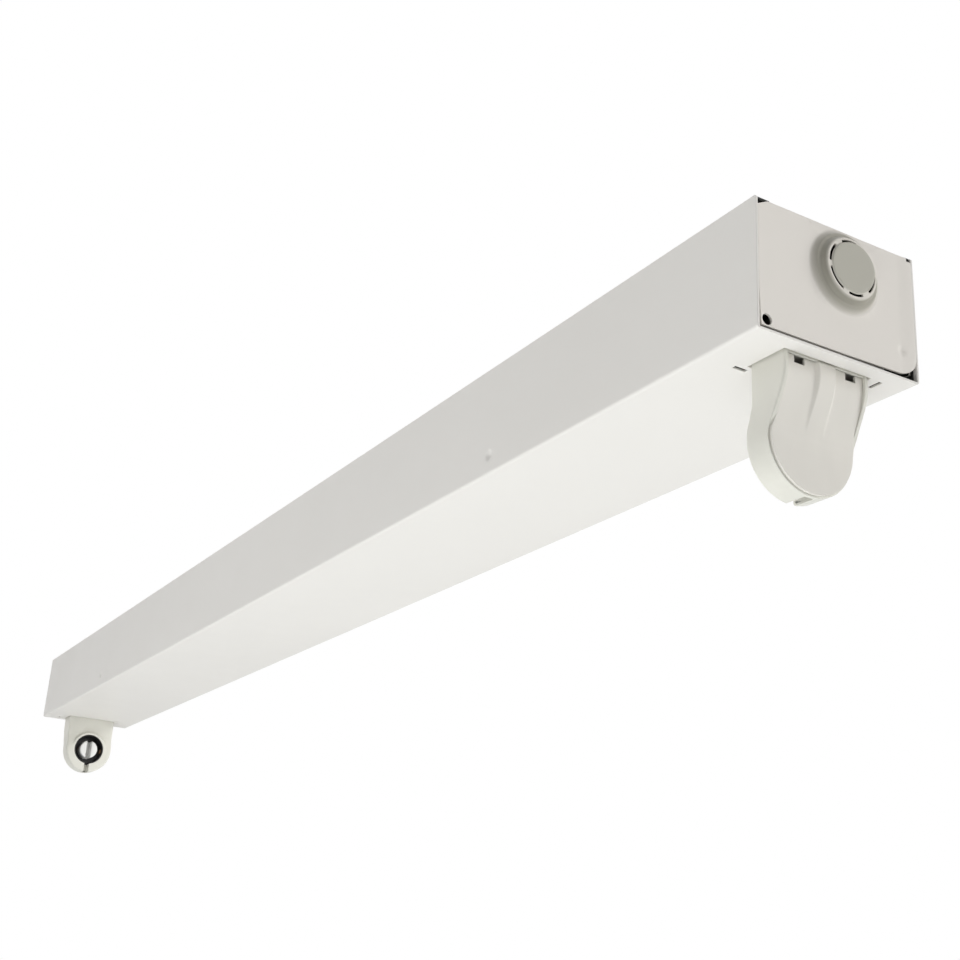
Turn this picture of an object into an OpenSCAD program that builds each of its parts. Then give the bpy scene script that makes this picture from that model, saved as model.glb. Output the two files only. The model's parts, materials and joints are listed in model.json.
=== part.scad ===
// Single-lamp fluorescent batten for a ceiling, without its tube.
// Millimetres. X runs along the box with the near end at +X, and Z is up.
// The origin is the centre of the ceiling face, so the whole fitting hangs below z = 0.

/* [Tube it takes] */
// Length of the tube between the faces of its caps
tube_length = 589.8; // [400:0.1:1500]
// Spare length between the two lampholder faces
tube_play = 1.2; // [0.6:0.1:3]
// Distance from the axis of one cap pin to the axis of the tube
pin_offset = 6.35; // [6:0.05:7]
// Diameter of a cap pin
pin_d = 2.35; // [2:0.05:2.6]

/* [Box] */
// Width of the box over its sides
box_width = 50; // [48:0.5:80]
// Height of the box, from the ceiling to the bottom face
box_height = 34; // [33:0.5:60]
// Thickness of the sheet steel
sheet_t = 0.6; // [0.5:0.05:0.9]
// Outer radius of the bends along the cover's lower edges
cover_bend_r = 1.8; // [1.2:0.1:3]
// Outer radius of the pan's bends
pan_bend_r = 1.0; // [0.9:0.1:1.4]
// Space between the cover's sides and the pan's flanges
pan_clearance = 0.1; // [0.05:0.05:0.3]
// Height of the gap under the pan's side flanges
flange_gap = 2.4; // [1.5:0.1:6]
// Distance from each end to the snap dimples in the cover's sides
dimple_inset = 116; // [40:1:180]
// Height of the snap dimples above the bottom face
dimple_height = 6; // [5:0.1:9]
// Mouth diameter of a snap dimple
dimple_d = 3.2; // [2.4:0.1:4]
// Depth of a snap dimple
dimple_depth = 0.6; // [0.4:0.05:0.8]

/* [End plates] */
// Distance that each end plate sits inside the cover's edge
plate_inset = 0.3; // [0.2:0.1:2]
// Gap between the end plate and each side of the cover
plate_side_gap = 0.15; // [0.1:0.05:0.5]
// Gap between the end plate and the cover's bottom
plate_bottom_gap = 0.8; // [0.4:0.05:1.6]
// Diameter of the hole at one lower corner of the end plate
corner_hole_d = 2.8; // [1.6:0.1:3]
// Distance from that hole to the plate's side and lower edge
corner_hole_in = 1.7; // [1.6:0.1:3]
// Width of the cut at the other lower corner
plate_cut_w = 5.4; // [3:0.1:7]
// Height of the cut at the other lower corner
plate_cut_h = 3.2; // [2:0.1:5]
// Distance between the pan's side flanges and the fold of each end plate
end_relief = 1.0; // [0.5:0.1:2]
// Width of the larger relief notch at the plate's fold
relief_w = 3.8; // [2:0.1:5]
// Height of the larger relief notch
relief_h = 2.0; // [1.5:0.1:3]
// Width and height of the smaller relief notch
small_relief = 1.3; // [1:0.1:2]
// Sideways offset of the boss from the middle of the plate
boss_offset = 2.2; // [-4:0.1:4]
// Distance from the ceiling to the centre of the boss
boss_drop = 11.3; // [11.2:0.1:16]
// Diameter of the boss where it leaves the plate
boss_base_d = 21; // [18:0.5:22]
// Diameter of the flat top of the boss
boss_top_d = 17.4; // [16:0.1:18]
// Height that the boss stands out of the plate
boss_h = 2.0; // [1:0.1:2.6]
// Diameter of the knock-out disc
knockout_d = 13.2; // [10:0.1:14]
// Width of the slits round the knock-out disc
knockout_slit = 0.6; // [0.4:0.05:0.9]
// Number of tabs that hold the knock-out disc
knockout_tabs = 6; // [4:1:8]
// Angle that each tab covers
tab_angle = 16; // [8:1:24]
// Diameter of the small mark at the plate's lower corner
mark_d = 2.4; // [1.6:0.1:3]
// Distance from the mark to the plate's lower edge
mark_height = 6.2; // [4.5:0.1:7]
// Sideways distance from the middle of the plate to the mark
mark_offset = 20; // [14:0.1:20]

/* [Lampholders] */
// Distance from each end of the box to the lampholder's face
holder_inset = 18.5; // [18:0.1:30]
// Distance from the bottom face to the axis of the tube
axis_drop = 18; // [17:0.1:24]
// Width of the lampholder
holder_w = 26; // [24:0.5:30]
// Distance that the neck's front leans back from the face
neck_lean = 2; // [1:0.1:2.6]
// Distance that the neck's back stands behind the head's back
neck_step = 5.6; // [3:0.1:6]
// Height above the tube's axis at which the back starts to slope
slope_start = 1.0; // [0.5:0.1:5]
// Height of the sloping part of the back
slope_h = 11.5; // [8:0.1:13]
// Height of the sloping part of the front
lean_h = 7; // [5:0.1:12]
// Height of the foot above the bottom face
foot_h = 10; // [8:0.5:13]
// Wall thickness of the lampholder
holder_wall = 1.2; // [0.8:0.1:1.6]
// Width of the level collar round the black ring
collar_w = 1.2; // [0.8:0.1:1.8]
// Thickness of the lampholder's back cover
back_t = 0.7; // [0.6:0.05:1]
// Gap between the back cover and the cheeks beside it
back_gap = 0.15; // [0.1:0.05:0.3]
// Space round the lampholder in the cover's cut-out
cutout_gap = 0.3; // [0.2:0.05:0.6]
// Overhang of the foot's flange past the sides of the cut-out
flange_over = 3.1; // [2:0.1:3.4]
// Overhang of the foot's flange past the front of the cut-out
flange_front_over = 1.5; // [1.5:0.1:2.4]
// Thickness of the foot's flange
foot_flange_t = 2.2; // [1.5:0.1:3]
// Length of the slit and hook that hold the foot's flange
hook_w = 3.8; // [3:0.1:5]
// Width of the slit beside each hook
slit_w = 0.8; // [0.6:0.05:1.2]
// Reach of a hook over the flange
hook_reach = 1.2; // [0.8:0.1:1.6]
// Thickness of the walls beside and behind the slit that the pins go up
lining_t = 0.9; // [0.6:0.1:1]
// Distance from the edge of the head to the back cover's round edge
back_rim = 0.5; // [0.3:0.1:0.8]
// Distance from the sheet to the top of the back cover
back_drop = 0.4; // [0.2:0.05:0.8]
// Width of a window in the back cover
window_w = 3.2; // [2:0.1:4]
// Height of a window in the back cover
window_h = 1.8; // [1:0.1:2.4]
// Sideways distance from the middle to a window
window_y = 7.9; // [5:0.1:8.5]
// Width of the flat land between the two pockets in the back cover
land_w = 5.6; // [4:0.1:8]
// Depth of the pockets at the top of the back cover
pocket_depth = 0.9; // [0.5:0.1:1.2]

/* [Rotor and pin groove] */
// Depth of the pin groove
groove_depth = 6.6; // [6.4:0.1:8]
// Radius of the rotor's hub
hub_r = 5; // [4.8:0.05:5.1]
// Running clearance between the rotor and its bearing, on the radius
running_gap = 0.06; // [0.03:0.01:0.09]
// Axial play of the rotor
axial_gap = 0.05; // [0.03:0.01:0.15]
// Space beside a pin in the groove and slots
pin_gap = 0.2; // [0.15:0.05:0.3]
// Wall thickness of the black ring that lines the groove
carrier_wall = 0.55; // [0.45:0.05:0.7]
// Thickness of the ring's floor, in which the rotor turns
carrier_floor = 0.55; // [0.5:0.05:0.8]
// Thickness of the rotor's retaining flange
rotor_flange_t = 0.4; // [0.3:0.05:0.6]
// Overhang of the rotor's retaining flange
rotor_flange_over = 0.7; // [0.5:0.05:1]
// Distance that the hub and the ring sit inside the face
hub_recess = 0.3; // [0.1:0.05:0.5]
// Thickness of the contact springs
contact_t = 0.3; // [0.2:0.05:0.4]
// Width of the contact springs
contact_w = 2.6; // [2:0.1:3]
// Distance that a turned pin pushes a contact spring outwards
contact_press = 0.2; // [0.1:0.05:0.3]
// Half the height of the bow in a contact spring
contact_reach = 5; // [4:0.1:6]

/* [Ceiling fixings and supply entry] */
// Distance between the two fixing slots
fixing_spacing = 400; // [300:1:460]
// Length of a fixing slot
fixing_slot_l = 12; // [8:0.5:20]
// Width of a fixing slot
fixing_slot_w = 5; // [4:0.1:6.5]
// Position of the supply entry along the box
entry_x = 70; // [62:1:120]
// Bore of the rubber grommet
grommet_bore = 9; // [7:0.5:10]
// Diameter of the hole that holds the grommet
grommet_neck_d = 14; // [13:0.5:16]
// Diameter of the grommet's flanges
grommet_d = 18; // [17.5:0.5:19]
// Thickness of each flange of the grommet
grommet_flange_t = 1.4; // [1:0.1:1.6]
// Depth of the pressed well round the supply entry
well_depth = 2; // [1.7:0.1:2.4]
// Diameter of the pressed well
well_d = 22; // [21:0.5:26]
// Depth of the pressed seats under the gear
seat_depth = 1.6; // [1.2:0.1:2]
// Diameter of a pressed seat
seat_d = 9; // [8:0.5:12]
// Width of the two stiffening beads
bead_w = 4; // [3:0.1:4.4]
// Space between the wire clips and the bead beside them
bead_gap = 0.3; // [0.1:0.05:0.8]
// Depth of the stiffening beads
bead_depth = 0.6; // [0.3:0.05:0.8]
// Distance from each end of the box to the beads
bead_inset = 30; // [20:1:60]

/* [Ballast] */
// Centre of the ballast along the box
ballast_x = -108; // [-125:1:-105]
// Length of the ballast's case
ballast_l = 128; // [110:1:132]
// Width of the ballast's case
ballast_w = 34; // [30:0.5:35]
// Height of the ballast's case
ballast_h = 22; // [21:0.5:24]
// Length of the fixing lug at each end
lug_l = 10; // [9:0.5:13]
// Thickness of the ballast's base plate
base_t = 0.8; // [0.6:0.05:1]
// Thickness of the ballast's lid
lid_t = 0.5; // [0.4:0.05:0.8]
// Height of the board over the base plate
board_lift = 3; // [2.5:0.1:4]
// Thickness of the circuit board
board_t = 1.6; // [1:0.1:2]
// Length of the choke's core along the ballast
core_w = 16; // [15:0.5:20]
// Width of the choke's core across the ballast
core_d = 12; // [8:0.5:14]
// Height of the choke's core
core_h = 13; // [10:0.5:14]
// Thickness of each of the core's three legs
core_leg = 3.4; // [2.5:0.1:3.6]
// Thickness of the core's top and bottom
core_yoke = 2.4; // [2:0.1:3]
// Position of the choke along the ballast
choke_x = 18; // [10:1:22]
// Diameter of the capacitor that lies on the board
capacitor_d = 10; // [8:0.5:12]
// Length of the capacitor that lies on the board
capacitor_l = 20; // [16:0.5:25]
// Position of that capacitor along the ballast
capacitor_x = -28; // [-34:1:-20]
// Thickness of the capacitor that stands on the board
film_t = 6; // [4:0.5:8]
// Width of the capacitor that stands on the board
film_w = 18; // [12:0.5:22]
// Height of the capacitor that stands on the board
film_h = 11; // [8:0.5:13]
// Position of that capacitor along the ballast
film_x = 40; // [36:1:44]
// Height of the ballast's wire terminals
terminal_h = 11; // [9:0.5:13]
// Length of the ballast's wire terminals
terminal_l = 10; // [8:0.5:12]
// Distance between neighbouring wires at the ballast
wire_pitch = 5; // [4:0.1:5.5]

/* [Mains terminal block] */
// Centre of the terminal block along the box
block_x = 25; // [22:1:30]
// Length of the terminal block along the box
block_l = 17; // [16:0.5:20]
// Height of the terminal block
block_h = 14; // [13:0.5:16]
// Distance between neighbouring poles
pole_pitch = 10; // [9:0.5:11]
// Width of one brass clamp
clamp_w = 5; // [4.5:0.1:6]
// Length of one brass clamp
clamp_l = 10; // [9:0.5:12]
// Height of one brass clamp
clamp_h = 7; // [6:0.1:8]
// Diameter of a clamp screw
clamp_screw_d = 3; // [2.5:0.1:3.5]
// Distance from the middle of a clamp to each of its screws
clamp_screw_x = 2.8; // [2.4:0.1:3]

/* [Earth terminal] */
// Position of the earth stud along the box
stud_x = -8; // [-14:1:-4]
// Space between the earth lug and the bead beside it
stud_gap = 1.3; // [0.4:0.1:2]
// Diameter of the earth stud
stud_d = 4; // [3:0.5:5]
// Length of the earth stud
stud_l = 9; // [8:0.5:14]
// Size of the earth nut across its flats
nut_af = 7; // [6.5:0.5:8]
// Thickness of the earth nut
nut_t = 3.2; // [2.4:0.1:4]
// Thickness of the washer
washer_t = 0.6; // [0.4:0.1:0.8]
// Thickness of the wire lug
lug_t = 0.8; // [0.6:0.1:0.8]
// Radius of the lug's ring
lug_r = 3.6; // [3.4:0.1:4]
// Radius of the lug's barrel
lug_barrel_r = 1.7; // [1.5:0.1:2]
// Length of the lug's barrel
lug_barrel_l = 6; // [5:0.5:8]

/* [Wires] */
// Diameter of an insulated wire
wire_d = 2; // [1.6:0.1:2.2]
// Smallest bend radius of a wire, on its centre line
wire_bend = 4; // [3:0.5:5]
// Clearance round a wire in a terminal or clip
wire_gap = 0.2; // [0.1:0.05:0.3]
// Space between the wire clips and the pan's side flange
lane_gap = 0.5; // [0.2:0.1:0.9]
// Distance between the two wires in the lane
lane_pitch = 3.4; // [2.6:0.1:4]
// Distance from the pan to the upper wire in the lane
lane_drop = 5; // [4:0.1:6]
// Length of a wire clip along the box
clip_l = 6; // [4:0.5:10]
// Distance from the outermost wire clips to the ends of the box
clip_inset = 60; // [40:1:80]
// Distance from the ballast to the wire clip beside its input
clip_lead = 14; // [12:1:30]

/* [Hidden] */
$fn = 64;

// Overrun of a cutting solid past the face that it cuts
over = 1;

// Box
box_length = tube_length + tube_play + 2 * holder_inset;
end_x = box_length / 2;
pan_half = box_width / 2 - sheet_t - pan_clearance;
flange_bottom = -(box_height - sheet_t - flange_gap);
plate_x = end_x - plate_inset;
plate_half = box_width / 2 - sheet_t - plate_side_gap;
plate_bottom = -(box_height - sheet_t - plate_bottom_gap);
flange_end = plate_x - pan_bend_r - end_relief;
dimple_x = end_x - dimple_inset;
dimple_z = dimple_height - box_height;
dimple_tip_d = dimple_d / 2;
dimple_hole_d = dimple_d + 1;
screw_tail = 0.6;
screw_gap = 0.1;

// Lampholder depths, measured back from its face
carrier_back = groove_depth + carrier_floor;
rotor_back = carrier_back + axial_gap + rotor_flange_t;
head_depth = rotor_back + 2 * axial_gap + back_t;
foot_depth = head_depth + neck_step;

// Lampholder widths and heights, measured from the tube's axis
face_x = end_x - holder_inset;
axis_z = -box_height - axis_drop;
head_r = holder_w / 2;
cheek_in = head_r - holder_wall;
slot_w = pin_d + 2 * pin_gap;
groove_r = pin_offset + pin_d / 2 + pin_gap;
carrier_r = groove_r + carrier_wall;
sheet_in = axis_drop + sheet_t;
foot_top = axis_drop + foot_h;
neck_top = slope_start + slope_h;
back_top = axis_drop - back_drop;
flange_half = head_r + cutout_gap + flange_over;
flange_front = -neck_lean + cutout_gap + flange_front_over;
flange_back = -foot_depth - cutout_gap - flange_front_over;
hook_gap = 0.1;
hook_inset = 1.0;
ring_gap = 0.05;
ring_seat_r = carrier_r + ring_gap;
collar_depth = neck_lean + holder_wall;

// Contact springs stand just behind the neck's front wall
contact_gap = 0.3;
contact_x = neck_lean + holder_wall + contact_gap + contact_w / 2;
contact_y = carrier_r + 1;
contact_dip = pin_offset + pin_d / 2 - contact_press + contact_t / 2;
contact_top = foot_top - 4;
contact_window_half = 2.6;

// Gear under the pan. Its own drawings have z = 0 on the seats and go down from there
gear_top = -sheet_t - seat_depth;
board_z = base_t + board_lift;
terminal_z = board_z + board_t;
bore_r = wire_d / 2 + wire_gap;
bore_depth = 6;
ballast_wire_z = gear_top - terminal_z - terminal_h / 2;
ballast_in_x = ballast_x + ballast_l / 2;
ballast_out_x = ballast_x - ballast_l / 2;
lug_x = ballast_l / 2 + lug_l / 2;
board_margin = 1;
ballast_screw_r = 1.9;
screw_head_r = 3.6;
screw_head_t = 1.8;
core_window = (core_w - 3 * core_leg) / 2;
winding_gap = 0.2;
winding_out = 2;
winding_corner_r = 1.5;
post_inset_x = 8;
post_inset_y = 6;
post_d = 4;
window_gap = 0.2;
terminal_rim = 1;
block_w = 3 * pole_pitch;
block_seat_d = 6.4;
block_screw_r = 1.4;
block_head_r = 2.6;
clamp_gap = 0.1;
clamp_bore_r = wire_d / 2 + 2 * wire_gap;
block_wire_z = gear_top - block_h / 2;
screw_slot_w = 0.6;
screw_slot_d = 0.8;
clamp_screw_drop = 0.8;
fixing_head_drop = 0.4;
lug_neck = 1;
lug_barrel_x = lug_r + lug_neck;
lug_wall = lug_barrel_r - wire_d / 2 - screw_gap;
earth_wire_z = -sheet_t - lug_barrel_r;
wire_in = 1;

// Wire lane beside the gear
upper_lane = -sheet_t - lane_drop;
lower_lane = upper_lane - lane_pitch;
clip_wall = 1.2;
clip_w = 2 * (bore_r + clip_wall);
wire_lane = pan_half - sheet_t - lane_gap - clip_w / 2;
bead_offset = wire_lane - clip_w / 2 - bead_gap - bead_w / 2 - sheet_t;
stud_y = bead_offset - bead_w / 2 - sheet_t - stud_gap - lug_r;
clip_h = lane_drop + lane_pitch + bore_r + clip_wall;
holder_wire_x = face_x + contact_x;
holder_wire_end = axis_z + contact_top;

// Drawing helpers

// Rectangle with rounded corners, centred on the origin
module round_rect(w, h, r) {
    square([w - 2 * r, h], center = true);
    square([w, h - 2 * r], center = true);
    for (sx = [-1, 1])
        for (sy = [-1, 1])
            translate([sx * (w / 2 - r), sy * (h / 2 - r)]) circle(r);
}

// Long hole with round ends, centred on the origin and lying along X
module stadium(l, w) {
    square([l - w, w], center = true);
    for (sx = [-1, 1])
        translate([sx * (l - w) / 2, 0]) circle(w / 2);
}

// Runs a shape drawn in Y and Z along X, about x = 0
module along_x(l) {
    rotate([90, 0, 90]) linear_extrude(l, center = true) children();
}

// Runs a shape drawn in X and Z along Y, about y = 0
module along_y(l) {
    rotate([90, 0, 0]) linear_extrude(l, center = true) children();
}

// Solid of revolution about X from x0 to x1
module disc_x(x0, x1, r) {
    translate([x0, 0, 0]) rotate([0, 90, 0]) cylinder(h = x1 - x0, r = r);
}

// Section of a folded channel with its closed side on y = 0 and its open side up
module channel_section(w, h, r, t) {
    difference() {
        intersection() {
            translate([0, h]) round_rect(w, 2 * h, r);
            translate([-w, 0]) square([2 * w, h]);
        }
        translate([0, h + t]) round_rect(w - 2 * t, 2 * h, r - t);
    }
}

// Places something at each end of the box, as drawn for the +X end
module at_both_ends() {
    for (turn = [0, 180])
        rotate([0, 0, turn]) children();
}

// A lampholder is drawn with its face at x = 0, looking along +X, and the tube's axis at z = 0
module at_near() {
    translate([face_x, 0, axis_z]) rotate([0, 0, 180]) children();
}

module at_far() {
    translate([-face_x, 0, axis_z]) children();
}

// Gear is drawn standing on z = 0, and hangs under the pan
module under_pan(x) {
    translate([x, 0, gear_top]) rotate([180, 0, 0]) children();
}

function unit(v) = v / norm(v);

// Points of the arc of radius r that rounds the corner b between a and c
function corner_arc(a, b, c, r) =
    let (
        u = unit(a - b),
        w = unit(c - b),
        half = acos(u * w) / 2,
        centre = b + unit(u + w) * r / sin(half),
        v0 = b + u * r / tan(half) - centre,
        v1 = b + w * r / tan(half) - centre,
        turn = 180 - 2 * half,
        steps = 4
    )
    [for (i = [0:steps])
        centre + (sin((1 - i / steps) * turn) * v0 + sin(i / steps * turn) * v1) / sin(turn)];

function rounded_route(points, r) = [
    points[0],
    for (i = [1:len(points) - 2]) each corner_arc(points[i - 1], points[i], points[i + 1], r),
    points[len(points) - 1]
];

function tangents(p) = [
    for (i = [0:len(p) - 1]) unit(p[min(i + 1, len(p) - 1)] - p[max(i - 1, 0)])
];

// A normal carried along the route without twisting
function carried_normals(t) =
    let (
        seed = abs(t[0][2]) < 0.9 ? [0, 0, 1] : [0, 1, 0],
        first = unit(seed - (seed * t[0]) * t[0])
    )
    [for (i = 0, n = first; i < len(t);
          i = i + 1, n = i < len(t) ? unit(n - (n * t[i]) * t[i]) : n) n];

// A round wire along a list of points, with its corners rounded
module wire(points) {
    sides = 8;
    route = rounded_route(points, wire_bend);
    t = tangents(route);
    n = carried_normals(t);
    rings = [
        for (i = [0:len(route) - 1])
            let (b = cross(t[i], n[i]))
            for (k = [0:sides - 1])
                let (a = k * 360 / sides)
                route[i] + wire_d / 2 * (cos(a) * n[i] + sin(a) * b)
    ];
    last = (len(route) - 1) * sides;
    polyhedron(
        points = rings,
        faces = [
            [for (k = [0:sides - 1]) k],
            [for (k = [sides - 1:-1:0]) last + k],
            for (i = [0:len(route) - 2])
                for (k = [0:sides - 1])
                    let (k2 = (k + 1) % sides)
                    each [
                        [i * sides + k2, i * sides + k, (i + 1) * sides + k],
                        [i * sides + k2, (i + 1) * sides + k, (i + 1) * sides + k2]
                    ]
        ]
    );
}

// One side of a flat strip of thickness t along points in the plane
function strip_side(p, t) = [
    for (i = [0:len(p) - 1])
        let (d = unit(p[min(i + 1, len(p) - 1)] - p[max(i - 1, 0)]))
        p[i] + t / 2 * [-d[1], d[0]]
];

module strip(p, t) {
    right = strip_side(p, -t);
    polygon(concat(strip_side(p, t), [for (i = [len(right) - 1:-1:0]) right[i]]));
}

// Cover

// Section of a hook that rises beside a slit and grips the foot's flange, for a slit at x = 0
module hook_section() {
    translate([slit_w, sheet_in - sheet_t / 2]) square([sheet_t, foot_flange_t + 3 * sheet_t / 2]);
    translate([-hook_reach, sheet_in + foot_flange_t])
        square([hook_reach + slit_w + sheet_t, sheet_t]);
}

module hooks() {
    translate([flange_front + hook_gap, head_r - hook_inset + hook_w / 2, 0])
        along_y(hook_w) hook_section();
    translate([-foot_depth + hook_w / 2, -flange_half - hook_gap, 0])
        along_x(hook_w) mirror([1, 0]) hook_section();
}

module holder_cutouts() {
    translate([0, 0, axis_drop - over]) {
        translate([-foot_depth - cutout_gap, -head_r - cutout_gap, 0])
            cube([foot_depth - neck_lean + 2 * cutout_gap, holder_w + 2 * cutout_gap,
                  sheet_t + 2 * over]);
        translate([flange_front + hook_gap, head_r - hook_inset, 0])
            cube([slit_w, hook_w, sheet_t + over]);
        translate([-foot_depth, -flange_half - hook_gap - slit_w, 0])
            cube([hook_w, slit_w, sheet_t + over]);
    }
}

// Places a cone that points inwards at each snap dimple, from a given depth under the outer face
module at_dimples(depth) {
    for (side = [-1, 1])
        for (along = [-1, 1])
            translate([along * dimple_x, side * (box_width / 2 - depth), dimple_z])
                rotate([side * 90, 0, 0]) children();
}

module cover_channel() {
    color([0.93, 0.925, 0.905]) difference() {
        union() {
            translate([0, 0, -box_height])
                along_x(box_length) channel_section(box_width, box_height, cover_bend_r, sheet_t);
            at_dimples(sheet_t / 2)
                cylinder(h = sheet_t / 2 + dimple_depth, d1 = dimple_d + sheet_t, d2 = dimple_tip_d + sheet_t);
            at_near() hooks();
            at_far() hooks();
        }
        at_dimples(0) cylinder(h = dimple_depth, d1 = dimple_d, d2 = dimple_tip_d);
        at_near() holder_cutouts();
        at_far() holder_cutouts();
    }
}

// Pan

// Folded end: a stretch of the pan's top, the bend and the plate, in X and Z
module folded_end_section() {
    bend_x = plate_x - pan_bend_r;
    translate([flange_end, -sheet_t]) square([bend_x - flange_end, sheet_t]);
    translate([plate_x - sheet_t, plate_bottom]) square([sheet_t, -plate_bottom - pan_bend_r]);
    translate([bend_x, -pan_bend_r]) intersection() {
        difference() {
            circle(pan_bend_r);
            circle(pan_bend_r - sheet_t);
        }
        square(2 * pan_bend_r);
    }
}

module pan_sheet() {
    rotate([180, 0, 0]) along_x(2 * flange_end)
        channel_section(2 * pan_half, -flange_bottom, pan_bend_r, sheet_t);
    at_both_ends() {
        along_y(2 * plate_half) folded_end_section();
        translate([flange_end - over, -plate_half + pan_bend_r, -sheet_t])
            cube([over + end_relief / 2, 2 * (plate_half - pan_bend_r), sheet_t]);
    }
}

// Boss on the end plate, centred on the X axis, pressed outwards from x = 0
module boss_outside() {
    translate([-sheet_t / 2, 0, 0]) rotate([0, 90, 0])
        cylinder(h = boss_h + sheet_t / 2, d1 = boss_base_d, d2 = boss_top_d);
}

module boss_inside() {
    translate([-sheet_t - over, 0, 0]) rotate([0, 90, 0])
        cylinder(h = boss_h + over, d1 = boss_base_d - 2 * sheet_t + over, d2 = boss_top_d - 2 * sheet_t);
}

module knockout_slits() {
    step = 360 / knockout_tabs;
    rotate([0, 90, 0])
        for (i = [0:knockout_tabs - 1])
            rotate([0, 0, i * step])
                rotate_extrude(angle = step - tab_angle)
                    translate([knockout_d / 2, 0]) square([knockout_slit, boss_h + over]);
}

module end_plate_cuts() {
    depth = 2 * pan_bend_r + sheet_t;
    translate([plate_x - depth, 0, 0]) {
        // Relief notches at the fold
        rotate([90, 0, 90]) linear_extrude(depth + over)
            polygon([[-plate_half - over, -sheet_t], [-plate_half - over, -relief_h],
                     [-plate_half, -relief_h], [relief_w - plate_half, -sheet_t]]);
        translate([0, plate_half - small_relief, -small_relief])
            cube([depth + over, small_relief + over, small_relief + over]);
        // Slanted lower corner
        translate([0, plate_half, plate_bottom]) rotate([90, 0, 90]) linear_extrude(depth + over)
            polygon([[-plate_cut_w, -over], [-plate_cut_w, 0], [0, plate_cut_h],
                     [over, plate_cut_h], [over, -over]]);
        // Hole at the other lower corner
        translate([0, -plate_half + corner_hole_in, plate_bottom + corner_hole_in])
            disc_x(0, depth + over, corner_hole_d / 2);
    }
    // Shallow mark
    translate([plate_x - sheet_t / 2, mark_offset, plate_bottom + mark_height]) rotate([0, 90, 0])
        cylinder(h = sheet_t, d1 = mark_d - sheet_t, d2 = mark_d + sheet_t);
}

// Places pressed down in the pan's top, each with its hole: [x, y, diameter, depth, hole radius]
function pressed_seats() = [
    for (side = [-1, 1]) [ballast_x + side * lug_x, 0, seat_d, seat_depth, ballast_screw_r + screw_gap],
    for (side = [-1, 1]) [block_x, side * pole_pitch / 2, block_seat_d, seat_depth, block_screw_r + screw_gap],
    [entry_x, 0, well_d, well_depth, grommet_neck_d / 2]
];

module seat_outside(s) {
    translate([s[0], s[1], -s[3] - sheet_t])
        cylinder(h = s[3] + sheet_t / 2, d1 = s[2] + 2 * sheet_t - s[3], d2 = s[2] + 2 * sheet_t);
}

module seat_inside(s) {
    translate([s[0], s[1], 0]) {
        translate([0, 0, -s[3]]) cylinder(h = s[3] + over, d1 = s[2] - s[3], d2 = s[2] + over);
        translate([0, 0, -s[3] - sheet_t - over]) cylinder(h = sheet_t + 2 * over, r = s[4]);
    }
}

module beads(grow, z0, h) {
    for (side = [-1, 1])
        translate([0, side * bead_offset, z0]) linear_extrude(h)
            stadium(box_length - 2 * bead_inset + grow, bead_w + grow);
}

module mounting_pan() {
    color([0.9, 0.89, 0.87]) difference() {
        union() {
            pan_sheet();
            at_both_ends() translate([plate_x, boss_offset, -boss_drop]) boss_outside();
            for (s = pressed_seats()) seat_outside(s);
            beads(2 * sheet_t, -sheet_t - bead_depth, bead_depth + sheet_t / 2);
        }
        at_both_ends() {
            translate([plate_x, boss_offset, -boss_drop]) {
                boss_inside();
                knockout_slits();
            }
            end_plate_cuts();
        }
        for (s = pressed_seats()) seat_inside(s);
        beads(0, -bead_depth, bead_depth + over);
        // Fixing slots
        for (side = [-1, 1])
            translate([side * fixing_spacing / 2, 0, -sheet_t - over])
                linear_extrude(sheet_t + 2 * over) stadium(fixing_slot_l, fixing_slot_w);
        // Holes in the flanges that the cover's dimples spring into
        for (along = [-1, 1])
            translate([along * dimple_x, 0, dimple_z]) rotate([90, 0, 0])
                cylinder(h = 2 * box_width, d = dimple_hole_d, center = true);
    }
}

module cable_grommet() {
    color([0.1, 0.1, 0.1]) translate([entry_x, 0, -well_depth]) difference() {
        union() {
            cylinder(h = grommet_flange_t, d = grommet_d);
            translate([0, 0, -sheet_t]) cylinder(h = sheet_t, d = grommet_neck_d);
            translate([0, 0, -sheet_t - grommet_flange_t]) cylinder(h = grommet_flange_t, d = grommet_d);
        }
        translate([0, 0, -sheet_t - grommet_flange_t - over])
            cylinder(h = sheet_t + 2 * grommet_flange_t + 2 * over, d = grommet_bore);
    }
}

// Lampholders

// Front outline: round end below and straight sides above, in Y and Z
module head_outline(r, top) {
    circle(r);
    translate([-r, 0]) square([2 * r, top]);
}

// Side outline in X and Z, with its front and back taken in
module holder_side(front_in, back_in, bottom, top) {
    polygon([
        [-front_in, bottom],
        [-front_in, slope_start],
        [-neck_lean - front_in, slope_start + lean_h],
        [-neck_lean - front_in, top],
        [-foot_depth + back_in, top],
        [-foot_depth + back_in, neck_top],
        [-head_depth + back_in, slope_start],
        [-head_depth + back_in, bottom]
    ]);
}

// Block with the head's front outline and the holder's side outline
module holder_block(r, top, front_in, back_in) {
    intersection() {
        along_x(4 * foot_depth) head_outline(r, top);
        along_y(4 * head_r) holder_side(front_in, back_in, -2 * head_r, top);
    }
}

module pin_way_in() {
    translate([-groove_depth, -slot_w / 2, -head_r - over])
        cube([groove_depth + over, slot_w, head_r + over - groove_r + over / 2]);
}

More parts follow.
